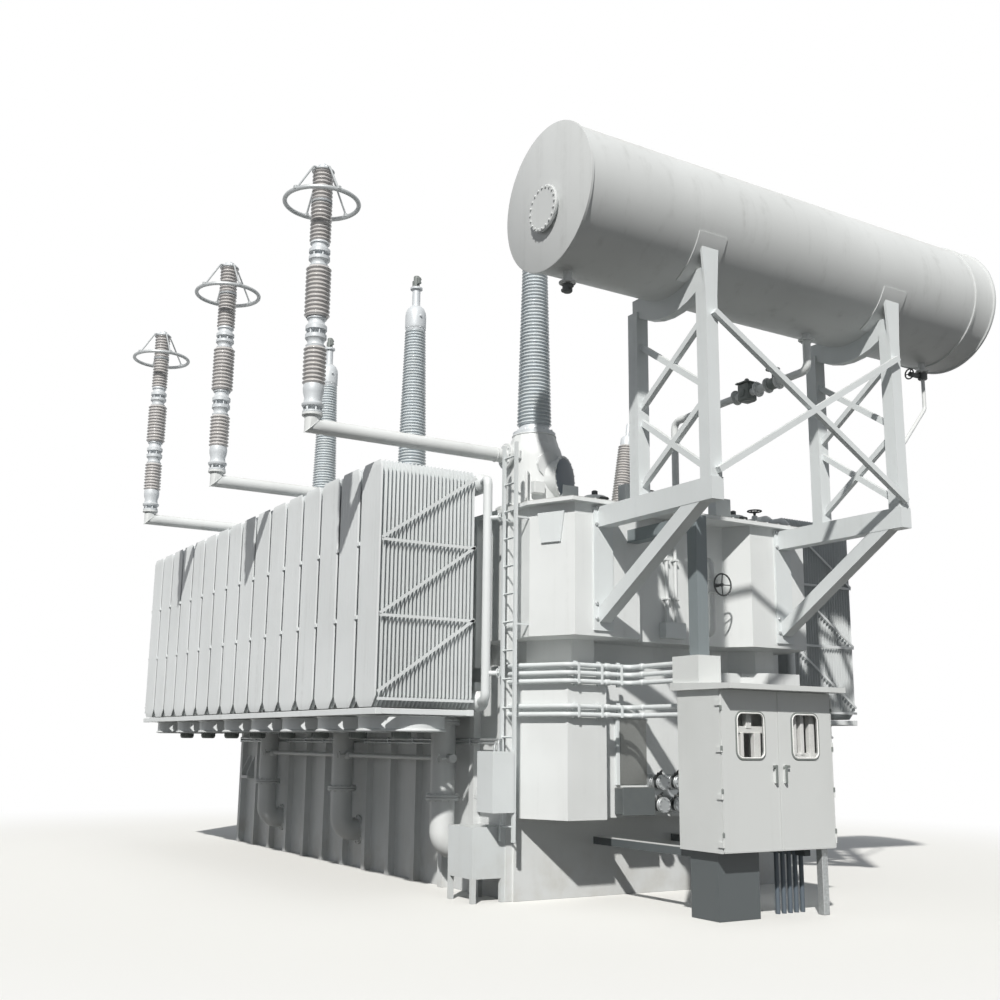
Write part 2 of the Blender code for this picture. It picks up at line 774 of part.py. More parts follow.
def down_pipes(name, side):
    """Pipes from the bottom header into the base of the tank, tied by a drain pipe."""
    top = bottom_header_z - header_flat - GAP
    y = side * header_y
    wall = side * (wall_y + GAP)
    shapes = []
    for x in down_pipe_places:
        route = rounded([(x, y, top), (x, y, DOWN_PIPE_HEIGHT), (x, wall, DOWN_PIPE_HEIGHT)], DOWN_PIPE_BEND)
        shapes.append(tube(route, DOWN_PIPE_RADIUS))
        flange_end = wall + side * PIPE_FLANGE_THICKNESS
        radius = DOWN_PIPE_RADIUS + PIPE_FLANGE_EXTRA
        shapes.append(rod((x, wall, DOWN_PIPE_HEIGHT), (x, flange_end, DOWN_PIPE_HEIGHT), radius))
    ends = down_pipe_places[0], down_pipe_places[-1]
    shapes.append(rod((ends[0], y, DRAIN_PIPE_HEIGHT), (ends[1], y, DRAIN_PIPE_HEIGHT), DRAIN_PIPE_RADIUS))
    return node(name, tank_paint, shapes)


# Bushings and arresters

def shed_profile(bottom, height, low_radius, high_radius, depth, count):
    """The side of a ribbed insulator from its top to its bottom: count sheds with a groove below each."""
    points = []
    for n in range(count):
        top_share = 1 - n / count
        low_share = 1 - (n + 1 / 2) / count
        for share, inset in ((top_share, depth), (low_share, 0.0)):
            radius = low_radius + (high_radius - low_radius) * share - inset
            points.append((radius, bottom + height * share))
    points.append((low_radius - depth, bottom))
    return points


def hv_turret(n, x):
    """A round turret on the cover, with a bolted port beside it and a nozzle for the arrester arm."""
    low = cover_top + GAP
    shoulder = turret_top - TURRET_SHOULDER
    profile = [
        (BUSHING_FLANGE_RADIUS, turret_top),
        (TURRET_RADIUS, shoulder),
        (TURRET_RADIUS, low + TURRET_FLANGE_THICKNESS),
        (TURRET_FLANGE_RADIUS, low + TURRET_FLANGE_THICKNESS),
        (TURRET_FLANGE_RADIUS, low),
    ]
    y = -HV_OFFSET
    body = turned(profile, ROUND_SIDES, Matrix.Translation((x, y, 0.0)))
    port_z = low + PORT_HEIGHT
    port = rod((x, y, port_z), (x + TURRET_RADIUS + PORT_LENGTH, y, port_z), PORT_RADIUS, SMALL_SIDES)
    nozzle = rod((x, y, arm_z), (x, y - TURRET_RADIUS - NOZZLE_LENGTH, arm_z), NOZZLE_RADIUS, SMALL_SIDES)
    return node(f"hv_turret_{n}", tank_paint, [body, port, nozzle], smooth=True)


def bushing_profile(low, sizes):
    """The whole side of a bushing, from its terminal down to its flange."""
    flange_radius, flange_height, bottom_radius, top_radius, shed, insulator, count = sizes[:7]
    cap_radius, cap, tip, tip_height = sizes[7:]
    insulator_low = low + flange_height
    cap_low = insulator_low + insulator
    cap_high = cap_low + cap
    return [
        (tip, cap_high + tip_height),
        (tip, cap_high),
        (cap_radius, cap_high),
        (cap_radius, cap_low),
        *shed_profile(insulator_low, insulator, bottom_radius, top_radius, shed, count),
        (flange_radius, insulator_low),
        (flange_radius, low),
    ]


def hv_bushing(n, x):
    sizes = (
        BUSHING_FLANGE_RADIUS, BUSHING_FLANGE_HEIGHT, BUSHING_BOTTOM_RADIUS, BUSHING_TOP_RADIUS,
        BUSHING_SHED_DEPTH, BUSHING_INSULATOR_HEIGHT, BUSHING_SHEDS,
        BUSHING_CAP_RADIUS, BUSHING_CAP_HEIGHT, TERMINAL_RADIUS, TERMINAL_HEIGHT,
    )
    profile = bushing_profile(turret_top + GAP, sizes)
    shape = turned(profile, SHED_SIDES, Matrix.Translation((x, -HV_OFFSET, 0.0)))
    return node(f"hv_bushing_{n}", porcelain, [shape], smooth=True)


def arrester_arm(n, x):
    """A pipe from the turret out over the bank, turned up under the arrester."""
    z = arm_z
    start = -HV_OFFSET - TURRET_RADIUS - NOZZLE_LENGTH - GAP
    end = -HV_OFFSET - ARM_REACH
    top = z + ARM_RISE
    route = rounded([(x, start, z), (x, end, z), (x, end, top)], ARM_BEND)
    shapes = [
        tube(route, ARM_RADIUS, 1),
        rod((x, start, z), (x, start - ARM_FLANGE_THICKNESS, z), ARM_FLANGE_RADIUS, SMALL_SIDES),
        rod((x, end, top - ARM_FLANGE_THICKNESS), (x, end, top), ARM_FLANGE_RADIUS, SMALL_SIDES),
    ]
    return node(f"arrester_arm_{n}", tank_paint, shapes, smooth=True)


def surge_arrester(n, x):
    """Stacked ribbed units with metal joints, and a grading ring held from the top by stays."""
    low = arm_z + ARM_RISE + GAP
    pitch = ARRESTER_JOINT_HEIGHT + ARRESTER_UNIT_HEIGHT
    top = low + ARRESTER_UNITS * pitch
    profile = [(ARRESTER_CAP_RADIUS, top + ARRESTER_CAP_HEIGHT), (ARRESTER_CAP_RADIUS, top)]
    for unit in reversed(range(ARRESTER_UNITS)):
        joint = low + unit * pitch
        unit_low = joint + ARRESTER_JOINT_HEIGHT
        high_share = (unit + 1) / ARRESTER_UNITS
        low_share = unit / ARRESTER_UNITS
        taper = ARRESTER_TOP_RADIUS - ARRESTER_BOTTOM_RADIUS
        low_radius = ARRESTER_BOTTOM_RADIUS + taper * low_share
        profile += shed_profile(
            unit_low,
            ARRESTER_UNIT_HEIGHT,
            low_radius,
            ARRESTER_BOTTOM_RADIUS + taper * high_share,
            ARRESTER_SHED_DEPTH,
            ARRESTER_UNIT_SHEDS,
        )
        profile += [(ARRESTER_JOINT_RADIUS, unit_low), (ARRESTER_JOINT_RADIUS, joint)]
    y = -HV_OFFSET - ARM_REACH
    shapes = [turned(profile, ARRESTER_SIDES, Matrix.Translation((x, y, 0.0)))]
    ring_z = top + ARRESTER_CAP_HEIGHT / 2 - RING_DROP
    section = [
        (RING_RADIUS + RING_TUBE_RADIUS * math.cos(a), ring_z + RING_TUBE_RADIUS * math.sin(a))
        for a in (math.tau * k / RING_SECTION_SIDES for k in range(RING_SECTION_SIDES))
    ]
    shapes.append(turned_ring(section, SMALL_SIDES, Matrix.Translation((x, y, 0.0))))
    for stay in range(RING_STAYS):
        angle = math.tau * (stay + 1 / 2) / RING_STAYS
        out = Vector((math.cos(angle), math.sin(angle), 0.0))
        start = Vector((x, y, top + ARRESTER_CAP_HEIGHT / 2))
        knee = start + out * (RING_RADIUS * RING_KNEE_SHARE)
        end = Vector((x, y, ring_z)) + out * RING_RADIUS
        shapes.append(tube([start, knee, end], RING_STAY_RADIUS, 0))
    return node(f"surge_arrester_{n}", arrester_porcelain, shapes, smooth=True)


def lv_bushing(n, x):
    """A leaning bushing on its own short turret."""
    low = cover_top + GAP
    place = Matrix.Translation((x, LV_OFFSET, low))
    turret = turned(
        [
            (LV_FLANGE_RADIUS, LV_TURRET_HEIGHT),
            (LV_TURRET_RADIUS, LV_TURRET_HEIGHT - LV_FLANGE_HEIGHT),
            (LV_TURRET_RADIUS, 0.0),
        ],
        SMALL_SIDES,
        place,
    )
    sizes = (
        LV_FLANGE_RADIUS, LV_FLANGE_HEIGHT, LV_BOTTOM_RADIUS, LV_TOP_RADIUS,
        LV_SHED_DEPTH, LV_INSULATOR_HEIGHT, LV_SHEDS,
        LV_CAP_RADIUS, LV_CAP_HEIGHT, LV_TERMINAL_RADIUS, LV_TERMINAL_HEIGHT,
    )
    lean = Matrix.Rotation(-math.radians(LV_LEAN_DEGREES), 4, "X")
    sink = LV_FLANGE_RADIUS * math.tan(math.radians(LV_LEAN_DEGREES)) + OVERLAP
    seat = Matrix.Translation((0.0, 0.0, LV_TURRET_HEIGHT - sink))
    body = turned(bushing_profile(0.0, sizes), SHED_SIDES, place @ seat @ lean)
    return node(f"lv_bushing_{n}", porcelain, [turret, body], smooth=True)


# Conservator

def conservator():
    """A shell along Y with a plate over each end."""
    half = CONSERVATOR_LENGTH / 2
    low_y = CONSERVATOR_SHIFT - half + END_PLATE_THICKNESS + GAP
    high_y = CONSERVATOR_SHIFT + half - END_PLATE_THICKNESS - GAP
    x, z = conservator_x, conservator_z
    shell = rod((x, low_y, z), (x, high_y, z), CONSERVATOR_RADIUS, CONSERVATOR_SIDES)
    bore_radius = CONSERVATOR_RADIUS - CONSERVATOR_WALL
    bore = rod((x, low_y - CUT, z), (x, high_y + CUT, z), bore_radius, CONSERVATOR_SIDES)
    node("conservator_shell", tank_paint, [cut(shell, [bore])], smooth=True)
    near_y = CONSERVATOR_SHIFT - half
    far_y = CONSERVATOR_SHIFT + half
    rim = CONSERVATOR_RADIUS + END_RIM
    plate = rod((x, near_y, z), (x, near_y + END_PLATE_THICKNESS, z), rim, CONSERVATOR_SIDES)
    hatch_z = z - CONSERVATOR_RADIUS * MANHOLE_DROP_SHARE
    hatch_face = near_y - MANHOLE_THICKNESS
    hatch = rod((x, hatch_face, hatch_z), (x, near_y + OVERLAP, hatch_z), MANHOLE_RADIUS, FINE_SIDES)
    node("conservator_near_end", tank_paint, [plate, hatch], smooth=True)
    plate = rod((x, far_y - END_PLATE_THICKNESS, z), (x, far_y, z), rim, CONSERVATOR_SIDES)
    node("conservator_far_end", tank_paint, [plate], smooth=True)


def trestle(name, side):
    """Two posts on a wall bracket with crossed bars between them, a curved band under the drum across
    their tops and a plate on the outer post that leans on the drum's side."""
    y = side * TRESTLE_SPACING / 2
    low = bracket_top + GAP
    outer = near_end + POST_REACH_OUTER
    inner = near_end + POST_REACH_INNER
    half = POST_WIDTH / 2
    saddle_low = conservator_z - CONSERVATOR_RADIUS - SADDLE_DEPTH
    thickness = SADDLE_THICKNESS / 2
    x, z = conservator_x, conservator_z
    band = CONSERVATOR_RADIUS + SADDLE_BAND
    wide = rod((x, y - thickness, z), (x, y + thickness, z), band, CONSERVATOR_SIDES)
    drum = [(x, y - half - CUT, z), (x, y + half + CUT, z), CONSERVATOR_RADIUS + GAP, CONSERVATOR_SIDES]
    horn_top = z - HORN_DROP
    post_top = horn_top - HORN_HEIGHT + POST_WIDTH
    reach = band + CUT
    above = box((x - reach, y - half, post_top + POST_WIDTH), (x + reach, y + half, z + reach))
    beside = [
        box((outer + half - CUT, y - half, z - reach), (x + reach, y + half, z + reach)),
        box((x - reach, y - half, z - reach), (inner - half + CUT, y + half, z + reach)),
    ]
    horn_edge = [
        (-half, horn_top - HORN_HEIGHT),
        (half, horn_top - HORN_HEIGHT),
        (HORN_WIDTH / 2, horn_top),
        (-HORN_WIDTH / 2, horn_top),
    ]
    horn_place = Matrix.Translation((outer + half - HORN_THICKNESS / 2, y, 0.0)) @ FACING_X
    horn = cut(flat([horn_edge], HORN_THICKNESS, horn_place), [rod(*drum)])
    shapes = [cut(wide, [rod(*drum), above, *beside]), horn]
    for x in (outer, inner):
        shapes.append(cut(box((x - half, y - half, low), (x + half, y + half, post_top)), [rod(*drum)]))
    panel = (saddle_low - low) / SIDE_PANELS
    for n in range(SIDE_PANELS):
        bottom, top = low + n * panel + half, low + (n + 1) * panel
        for a, b in ((outer, inner), (inner, outer)):
            shapes.append(bar((a, y, bottom), (b, y, top), BRACE_WIDTH, BRACE_WIDTH))
    return node(name, frame_paint, shapes)


def front_brace():
    """Crossed bars between the two outer posts."""
    x = near_end + POST_REACH_OUTER + POST_WIDTH / 2 + GAP
    low = bracket_top + BRACE_WIDTH
    high = conservator_z - CONSERVATOR_RADIUS - SADDLE_DEPTH
    reach = TRESTLE_SPACING / 2
    centre = x + BRACE_WIDTH / 2
    shapes = [
        bar((centre, -reach, low), (centre, reach, high), BRACE_WIDTH, BRACE_WIDTH),
        bar((centre, reach, low), (centre, -reach, high), BRACE_WIDTH, BRACE_WIDTH),
    ]
    return node("front_brace", frame_paint, shapes)


def wall_bracket(name, side):
    """A deep top chord and a diagonal on a plate against the end wall."""
    y = side * TRESTLE_SPACING / 2
    half = BRACKET_DIAGONAL_WIDTH / 2
    wall = near_end + GAP
    plate_out = wall + BRACKET_PLATE_THICKNESS
    chord_low = bracket_top - BRACKET_CHORD_HEIGHT
    foot = bracket_top - BRACKET_DROP
    plate_half = half + BRACKET_PLATE_EXTRA
    tip = near_end + POST_REACH_OUTER + POST_WIDTH / 2 + BRACKET_MARGIN
    shapes = [
        box((wall, y - half, chord_low), (tip, y + half, bracket_top)),
        box((wall, y - plate_half, foot - half), (plate_out, y + plate_half, bracket_top - OVERLAP)),
    ]
    start = Vector((wall + BRACKET_PLATE_THICKNESS / 2, y, foot + half))
    end = Vector((tip - BRACKET_DIAGONAL_WIDTH, y, bracket_top - BRACKET_CHORD_HEIGHT / 2))
    diagonal = bar(start, end, BRACKET_DIAGONAL_WIDTH - 2 * OVERLAP, BRACKET_DIAGONAL_WIDTH)
    trim = box((wall - CUT, y - half - CUT, foot - half - CUT), (wall, y + half + CUT, bracket_top))
    shapes.append(cut(diagonal, [trim]))
    return node(name, frame_paint, shapes)


def relay_pipe():
    """The pipe from the conservator's underside to the tank cover, with the gas relay in it."""
    x, y = conservator_x, RELAY_PIPE_SIDE
    top = conservator_z - CONSERVATOR_RADIUS - GAP
    level = top - RELAY_PIPE_DROP
    end_x = x - RELAY_PIPE_RUN
    seat = cover_top + GAP
    low = level - RELAY_PIPE_RUN * RELAY_PIPE_FALL_SHARE
    route = rounded([(x, y, top), (x, y, level), (end_x, y, low), (end_x, y, seat)], RELAY_PIPE_BEND)
    relay_x = x + (end_x - x) * RELAY_PLACE_SHARE
    relay_z = level - (x - relay_x) * RELAY_PIPE_FALL_SHARE
    half = RELAY_LENGTH / 2
    shapes = [
        tube(route, RELAY_PIPE_RADIUS),
        rod((relay_x - half, y, relay_z), (relay_x + half, y, relay_z), RELAY_RADIUS, SMALL_SIDES),
        rod((end_x, y, seat), (end_x, y, seat + PIPE_FLANGE_THICKNESS), RELAY_FLANGE_RADIUS),
    ]
    return node("relay_pipe", tank_paint, shapes)


# Control cabinet

def rounded_rectangle(width, height, radius, steps=CORNER_STEPS):
    """An outline about the origin with round corners."""
    points = []
    for k, (sx, sy) in enumerate(((1, 1), (-1, 1), (-1, -1), (1, -1))):
        cx, cy = sx * (width / 2 - radius), sy * (height / 2 - radius)
        for n in range(steps + 1):
            angle = math.pi / 2 * (k + n / steps)
            points.append((cx + radius * math.cos(angle), cy + radius * math.sin(angle)))
    return points


def cabinet_body():
    """An open case on two beams from the tank's base, with its half of the hinges and a cable duct."""
    back, front = cabinet_back, door_back - DOOR_GAP
    shell = box((back, cabinet_low_y, CABINET_SILL), (front, cabinet_high_y, cabinet_top))
    room = box(
        (back + CABINET_WALL, cabinet_low_y + CABINET_WALL, CABINET_SILL + CABINET_WALL),
        (front + CUT, cabinet_high_y - CABINET_WALL, cabinet_top - CABINET_WALL),
    )
    shapes = [cut(shell, [room])]
    floor = CABINET_SILL + CABINET_WALL / 2
    half = SUPPORT_WIDTH / 2
    for y in (cabinet_low_y + SUPPORT_INSET, cabinet_high_y - SUPPORT_INSET):
        low = (base_end + GAP, y - half, CABINET_SILL - SUPPORT_WIDTH)
        shapes.append(box(low, (front - SUPPORT_INSET, y + half, floor)))
    duct_x, duct_y = back + CABLE_DUCT_INSET, cabinet_low_y + CABLE_DUCT_INSET
    shapes.append(box((duct_x, duct_y, 0.0), (duct_x + CABLE_DUCT_DEPTH, duct_y + CABLE_DUCT_WIDTH, floor)))
    for wall, out in ((cabinet_low_y, -1), (cabinet_high_y, 1)):
        for z in hinge_levels:
            shapes.extend(fixed_hinge(wall, out, front, z))
    return node("cabinet_body", cabinet_paint, shapes)


def fixed_hinge(wall, out, front, z):
    """The lower half of a hinge: an arm along the cabinet's side, with a knuckle at the door's edge."""
    axis = wall + out * HINGE_OFFSET
    high = z + HINGE_LENGTH / 2 - GAP
    half = HINGE_LEAF / 2
    y0, y1 = sorted((axis + out * half, axis - out * half))
    foot0, foot1 = sorted((axis + out * half, wall - out * CABINET_WALL / 2))
    return [
        box((front - HINGE_ARM, y0, z), (cabinet_front, y1, high)),
        box((front - HINGE_ARM, foot0, z), (front - HINGE_LEAF, foot1, high)),
        rod((cabinet_front, axis, z), (cabinet_front, axis, high), HINGE_RADIUS, HINGE_SIDES),
    ]


def roof_plate(extra):
    """The cabinet's roof, which falls toward the doors, with its top raised by a little extra."""
    low = cabinet_top + GAP
    reach = ROOF_OVERHANG
    x0, x1 = cabinet_back - reach, cabinet_front + ROOF_FRONT_OVERHANG
    y0, y1 = cabinet_low_y - reach, cabinet_high_y + reach
    front_top = low + ROOF_THICKNESS + extra
    outline = [(x0, low), (x1, low), (x1, front_top), (x0, front_top + ROOF_RISE)]
    return flat([outline], y1 - y0, Matrix.Translation((0.0, (y0 + y1) / 2, 0.0)) @ FACING_Y)


def cabinet_roof():
    return node("cabinet_roof", cabinet_paint, [roof_plate(0.0)])


def cabinet_door(name, side):
    """A door with a rounded window opening, hinge knuckles beside its outer edge and a pull handle."""
    front, low, high = cabinet_front, door_low, door_high
    outer_y = cabinet_middle + side * CABINET_WIDTH / 2
    inner_y = cabinet_middle + side * DOOR_GAP / 2
    hinge_y = outer_y + side * HINGE_OFFSET
    window_z = high - WINDOW_TOP_DROP - WINDOW_HEIGHT / 2
    place = Matrix.Translation(((front + door_back) / 2, (outer_y + inner_y) / 2, window_z)) @ FACING_X
    opening = rounded_rectangle(WINDOW_WIDTH, WINDOW_HEIGHT, WINDOW_RADIUS)
    half = abs(outer_y - inner_y) / 2
    bottom, top = low - window_z, high - window_z
    edge = [(-half, bottom), (half, bottom), (half, top), (-half, top)]
    shapes = [flat([edge, opening], DOOR_THICKNESS, place)]
    handle_y = inner_y + side * HANDLE_INSET
    handle_top = window_z - WINDOW_HEIGHT / 2 - HANDLE_INSET
    grip0 = (front - OVERLAP, handle_y - HANDLE_WIDTH / 2, handle_top - HANDLE_LENGTH)
    grip1 = (front + HANDLE_DEPTH, handle_y + HANDLE_WIDTH / 2, handle_top)
    shapes.append(box(grip0, grip1))
    y0, y1 = sorted((hinge_y, outer_y - side * OVERLAP))
    for level in hinge_levels:
        z0, z1 = level + HINGE_LENGTH / 2, level + HINGE_LENGTH
        shapes.append(rod((front, hinge_y, z0), (front, hinge_y, z1), HINGE_RADIUS, HINGE_SIDES))
        shapes.append(box((front - HINGE_LEAF, y0, z0), (front - HINGE_LEAF / 4, y1, z1)))
    node(name + "_door", cabinet_paint, shapes, pivot=(front, hinge_y, low))
    width, height = WINDOW_WIDTH - 2 * GAP, WINDOW_HEIGHT - 2 * GAP
    pane = flat([rounded_rectangle(width, height, WINDOW_RADIUS - GAP)], WINDOW_THICKNESS, place)
    node(name + "_window", pane_glass, [pane], pivot=(front, hinge_y, low))


def wiring_panel():
    """The back plate inside the cabinet with its upright wire ducts."""
    back = cabinet_back + CABINET_WALL + GAP
    y0, y1 = cabinet_low_y + PANEL_MARGIN, cabinet_high_y - PANEL_MARGIN
    z0, z1 = CABINET_SILL + PANEL_MARGIN, cabinet_top - PANEL_MARGIN
    shapes = [box((back, y0, z0), (back + PANEL_THICKNESS, y1, z1))]
    for n in range(WIRE_DUCT_COUNT):
        y = y0 + (y1 - y0) * (n + 1 / 2) / WIRE_DUCT_COUNT
        shapes.append(
            box(
                (back + PANEL_THICKNESS / 2, y - WIRE_DUCT_WIDTH / 2, z0 + PANEL_MARGIN),
                (back + PANEL_THICKNESS + WIRE_DUCT_DEPTH, y + WIRE_DUCT_WIDTH / 2, z1 - PANEL_MARGIN),
            )
        )
    return node("wiring_panel", duct_plastic, shapes)


def wireway():
    """A square duct from a box on the cabinet's roof, up and back to a column of the end wall."""
    half = WIREWAY_WIDTH / 2
    x = cabinet_back + WIREWAY_SETBACK
    y = cabinet_low_y + WIREWAY_INSET + half
    low = cabinet_top + ROOF_THICKNESS
    top = low + WIREWAY_HEIGHT
    box_half = WIREWAY_BOX_WIDTH / 2
    box_top = low + ROOF_RISE + WIREWAY_BOX_HEIGHT
    foot = box((wireway_back, y - box_half, low), (x + box_half, y + box_half, box_top))
    shapes = [
        cut(foot, [roof_plate(GAP)]),
        box((x - half, y - half, box_top - OVERLAP), (x + half, y + half, top)),
        box((near_end + GAP, y - half, top - WIREWAY_WIDTH), (x, y + half, top)),
    ]
    return node("wireway", cabinet_paint, shapes)


# Ladder, conduits and small pieces on the near end

def ladder():
    """Two rails with rungs, tied to the long wall above the tank's waist and once below it."""
    x1 = near_end - LADDER_SETBACK
    x0 = x1 - LADDER_WIDTH
    y = -(wall_y + LADDER_STANDOFF)
    half = LADDER_RAIL / 2
    top = LADDER_FOOT + RUNG_COUNT * RUNG_PITCH
    shapes = [box((x - half, y - half, LADDER_FOOT), (x + half, y + half, top)) for x in (x0, x1)]
    for n in range(RUNG_COUNT):
        z = LADDER_FOOT + (n + 1 / 2) * RUNG_PITCH
        shapes.append(rod((x0, y, z), (x1, y, z), RUNG_RADIUS, RUNG_SIDES))
    tie_levels = (
        upper_bottom + TAPER_HEIGHT + LADDER_TIE_MARGIN,
        upper_top - LADDER_TIE_MARGIN,
    )
    ties = [(x, z) for z in tie_levels for x in (x0, x1)]
    ties.append((x0, lower_bottom + LADDER_TIE_MARGIN))
    thin = LADDER_TIE_WIDTH / 2
    for x, z in ties:
        shapes.append(box((x - thin, y, z - thin), (x + thin, -wall_y - GAP, z + thin)))
    return node("ladder", galvanised, shapes)


def conduits():
    """Conduits from the last stiffener round the sloped corner, along the end and out to the cabinet:
    the upper ones to the wireway's box, the lower ones to the cabinet's back."""
    out = CONDUIT_STANDOFF
    slope = math.atan2(CORNER_WIDTH, CORNER_LENGTH)
    start_x = rib_places[-1] + RIB_WIDTH / 2 + GAP
    bend_x = lower_end - CORNER_LENGTH + out * math.tan(slope / 2)
    bend_y = wall_y - CORNER_WIDTH + out * math.tan(math.pi / 4 - slope / 2)
    column_edge = -(wall_y - CORNER_WIDTH - COLUMN_WIDTH_LOWER)
    end_y = cabinet_low_y + WIREWAY_INSET + WIREWAY_WIDTH / 2
    top = lower_top - CONDUIT_TOP_DROP
    runs = [(top - n * CONDUIT_PITCH, wireway_back - GAP) for n in range(UPPER_CONDUITS)]
    lower = top - CONDUIT_GROUP_DROP
    runs += [(lower - n * CONDUIT_PITCH, cabinet_back - GAP) for n in range(LOWER_CONDUITS)]
    shapes = []
    for z, end_x in runs:
        before = [(start_x, -wall_y - out, z), (bend_x, -wall_y - out, z), (lower_end + out, -bend_y, z)]
        corner = [before[-1], (lower_end + out, end_y, z), (end_x, end_y, z)]
        shapes.append(tube(before[:-1] + rounded(corner, CONDUIT_BEND), CONDUIT_RADIUS, 0))
    low, high = runs[-1][0] - CONDUIT_RADIUS, top + CONDUIT_RADIUS / 2
    for y in (-wall_y + CORNER_WIDTH + CLAMP_WIDTH, column_edge - CLAMP_WIDTH * 2):
        shapes.append(box((lower_end + GAP, y, low), (lower_end + out, y + CLAMP_WIDTH, high)))
    return node("conduits", galvanised, shapes)


def ladder_box():
    """A junction box on the ladder's rails."""
    middle = near_end - LADDER_SETBACK - LADDER_WIDTH / 2
    y1 = -(wall_y + LADDER_STANDOFF + LADDER_RAIL / 2 + GAP)
    low = (middle - SIDE_BOX_WIDTH / 2, y1 - SIDE_BOX_DEPTH, SIDE_BOX_SILL)
    high = (middle + SIDE_BOX_WIDTH / 2, y1, SIDE_BOX_SILL + SIDE_BOX_HEIGHT)
    return node("ladder_box", cabinet_paint, [box(low, high)])


def floor_box():
    """A connection box on four legs, its back against a stiffener beside the ladder's foot."""
    x1 = near_end - LADDER_SETBACK - LADDER_WIDTH - LADDER_RAIL / 2 - FLOOR_BOX_MARGIN
    x0 = x1 - FLOOR_BOX_WIDTH
    y1 = -(wall_y + RIB_DEPTH + GAP)
    y0 = y1 - FLOOR_BOX_DEPTH
    shapes = [box((x0, y0, FLOOR_BOX_LEG), (x1, y1, FLOOR_BOX_LEG + FLOOR_BOX_HEIGHT))]
    leg = FLOOR_BOX_LEG_WIDTH
    for x in (x0, x1 - leg):
        for y in (y0, y1 - leg):
            shapes.append(box((x, y, 0.0), (x + leg, y + leg, FLOOR_BOX_LEG + OVERLAP)))
    return node("floor_box", cabinet_paint, shapes)


def blank_plate():
    """A bare steel plate where the transformer's data would be."""
    x = lower_end - RECESS_DEPTH + GAP
    y = -NAMEPLATE_SIDE
    half = NAMEPLATE_WIDTH / 2
    low = (x, y - half, NAMEPLATE_SILL)
    high = (x + NAMEPLATE_THICKNESS, y + half, NAMEPLATE_SILL + NAMEPLATE_HEIGHT)
    return node("blank_plate", plate_steel, [box(low, high)])


def valve_group():
    """Four flanged fittings on a plate."""
    x = lower_end - RECESS_DEPTH + GAP
    y, z = -VALVE_SIDE, VALVE_SILL
    plate_half = VALVE_PITCH / 2 + VALVE_RADIUS
    shapes = [
        box(
            (x, y - plate_half, z - VALVE_RADIUS),
            (x + VALVE_PLATE_THICKNESS, y + plate_half, z + VALVE_PITCH + VALVE_RADIUS),
        )
    ]
    end = x + VALVE_PLATE_THICKNESS + VALVE_LENGTH
    for row in range(VALVE_ROWS):
        vz = z + row * VALVE_PITCH
        for vy in (y - VALVE_PITCH / 2, y + VALVE_PITCH / 2):
            shapes.append(rod((x + OVERLAP, vy, vz), (end - OVERLAP, vy, vz), VALVE_NECK_RADIUS))
            shapes.append(rod((end - VALVE_FLANGE_THICKNESS, vy, vz), (end, vy, vz), VALVE_RADIUS))
    return node("valve_group", tank_paint, shapes)


base_section()
lower_tank()
upper_tank()
tank_cover()
for bank_name, bank_side in (("front", -1), ("back", 1)):
    radiator_bank(f"radiators_{bank_name}", bank_side)
    fan_deck(f"fans_{bank_name}", bank_side)
    down_pipes(f"oil_pipes_{bank_name}", bank_side)
for number, place in enumerate(phase_places, 1):
    hv_turret(number, place)
    hv_bushing(number, place)
    arrester_arm(number, place)
    surge_arrester(number, place)
for number, place in enumerate(lv_places, 1):
    lv_bushing(number, place)
conservator()
for trestle_name, trestle_side in (("left", -1), ("right", 1)):
    trestle(f"{trestle_name}_trestle", trestle_side)
    wall_bracket(f"{trestle_name}_bracket", trestle_side)
front_brace()
relay_pipe()
cabinet_body()
cabinet_roof()
cabinet_door("left", -1)
cabinet_door("right", 1)
wiring_panel()
wireway()
ladder()
conduits()
ladder_box()
floor_box()
blank_plate()
valve_group()
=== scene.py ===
"""Looks of the power transformer: its finishes, its thin radiator plates, sheds, bolts,
fans and fittings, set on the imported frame. Lengths are in metres, with Z up."""

import math
from itertools import accumulate

import bpy
import numpy as np
from mathutils import Matrix, Vector


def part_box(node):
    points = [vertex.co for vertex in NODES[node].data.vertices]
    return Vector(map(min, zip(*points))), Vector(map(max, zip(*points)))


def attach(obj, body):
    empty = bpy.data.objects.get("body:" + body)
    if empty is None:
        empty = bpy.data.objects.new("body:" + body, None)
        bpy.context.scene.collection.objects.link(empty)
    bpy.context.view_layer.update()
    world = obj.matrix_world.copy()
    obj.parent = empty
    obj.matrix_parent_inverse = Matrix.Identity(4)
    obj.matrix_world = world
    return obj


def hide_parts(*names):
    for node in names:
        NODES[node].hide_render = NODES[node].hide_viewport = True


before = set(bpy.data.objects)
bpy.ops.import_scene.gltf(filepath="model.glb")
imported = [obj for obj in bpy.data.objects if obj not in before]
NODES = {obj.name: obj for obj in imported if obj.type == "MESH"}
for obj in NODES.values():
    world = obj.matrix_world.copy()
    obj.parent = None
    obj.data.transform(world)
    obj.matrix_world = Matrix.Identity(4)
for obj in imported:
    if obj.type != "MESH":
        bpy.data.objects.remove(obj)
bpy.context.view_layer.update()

BODY = "transformer"
SCENE = bpy.context.scene

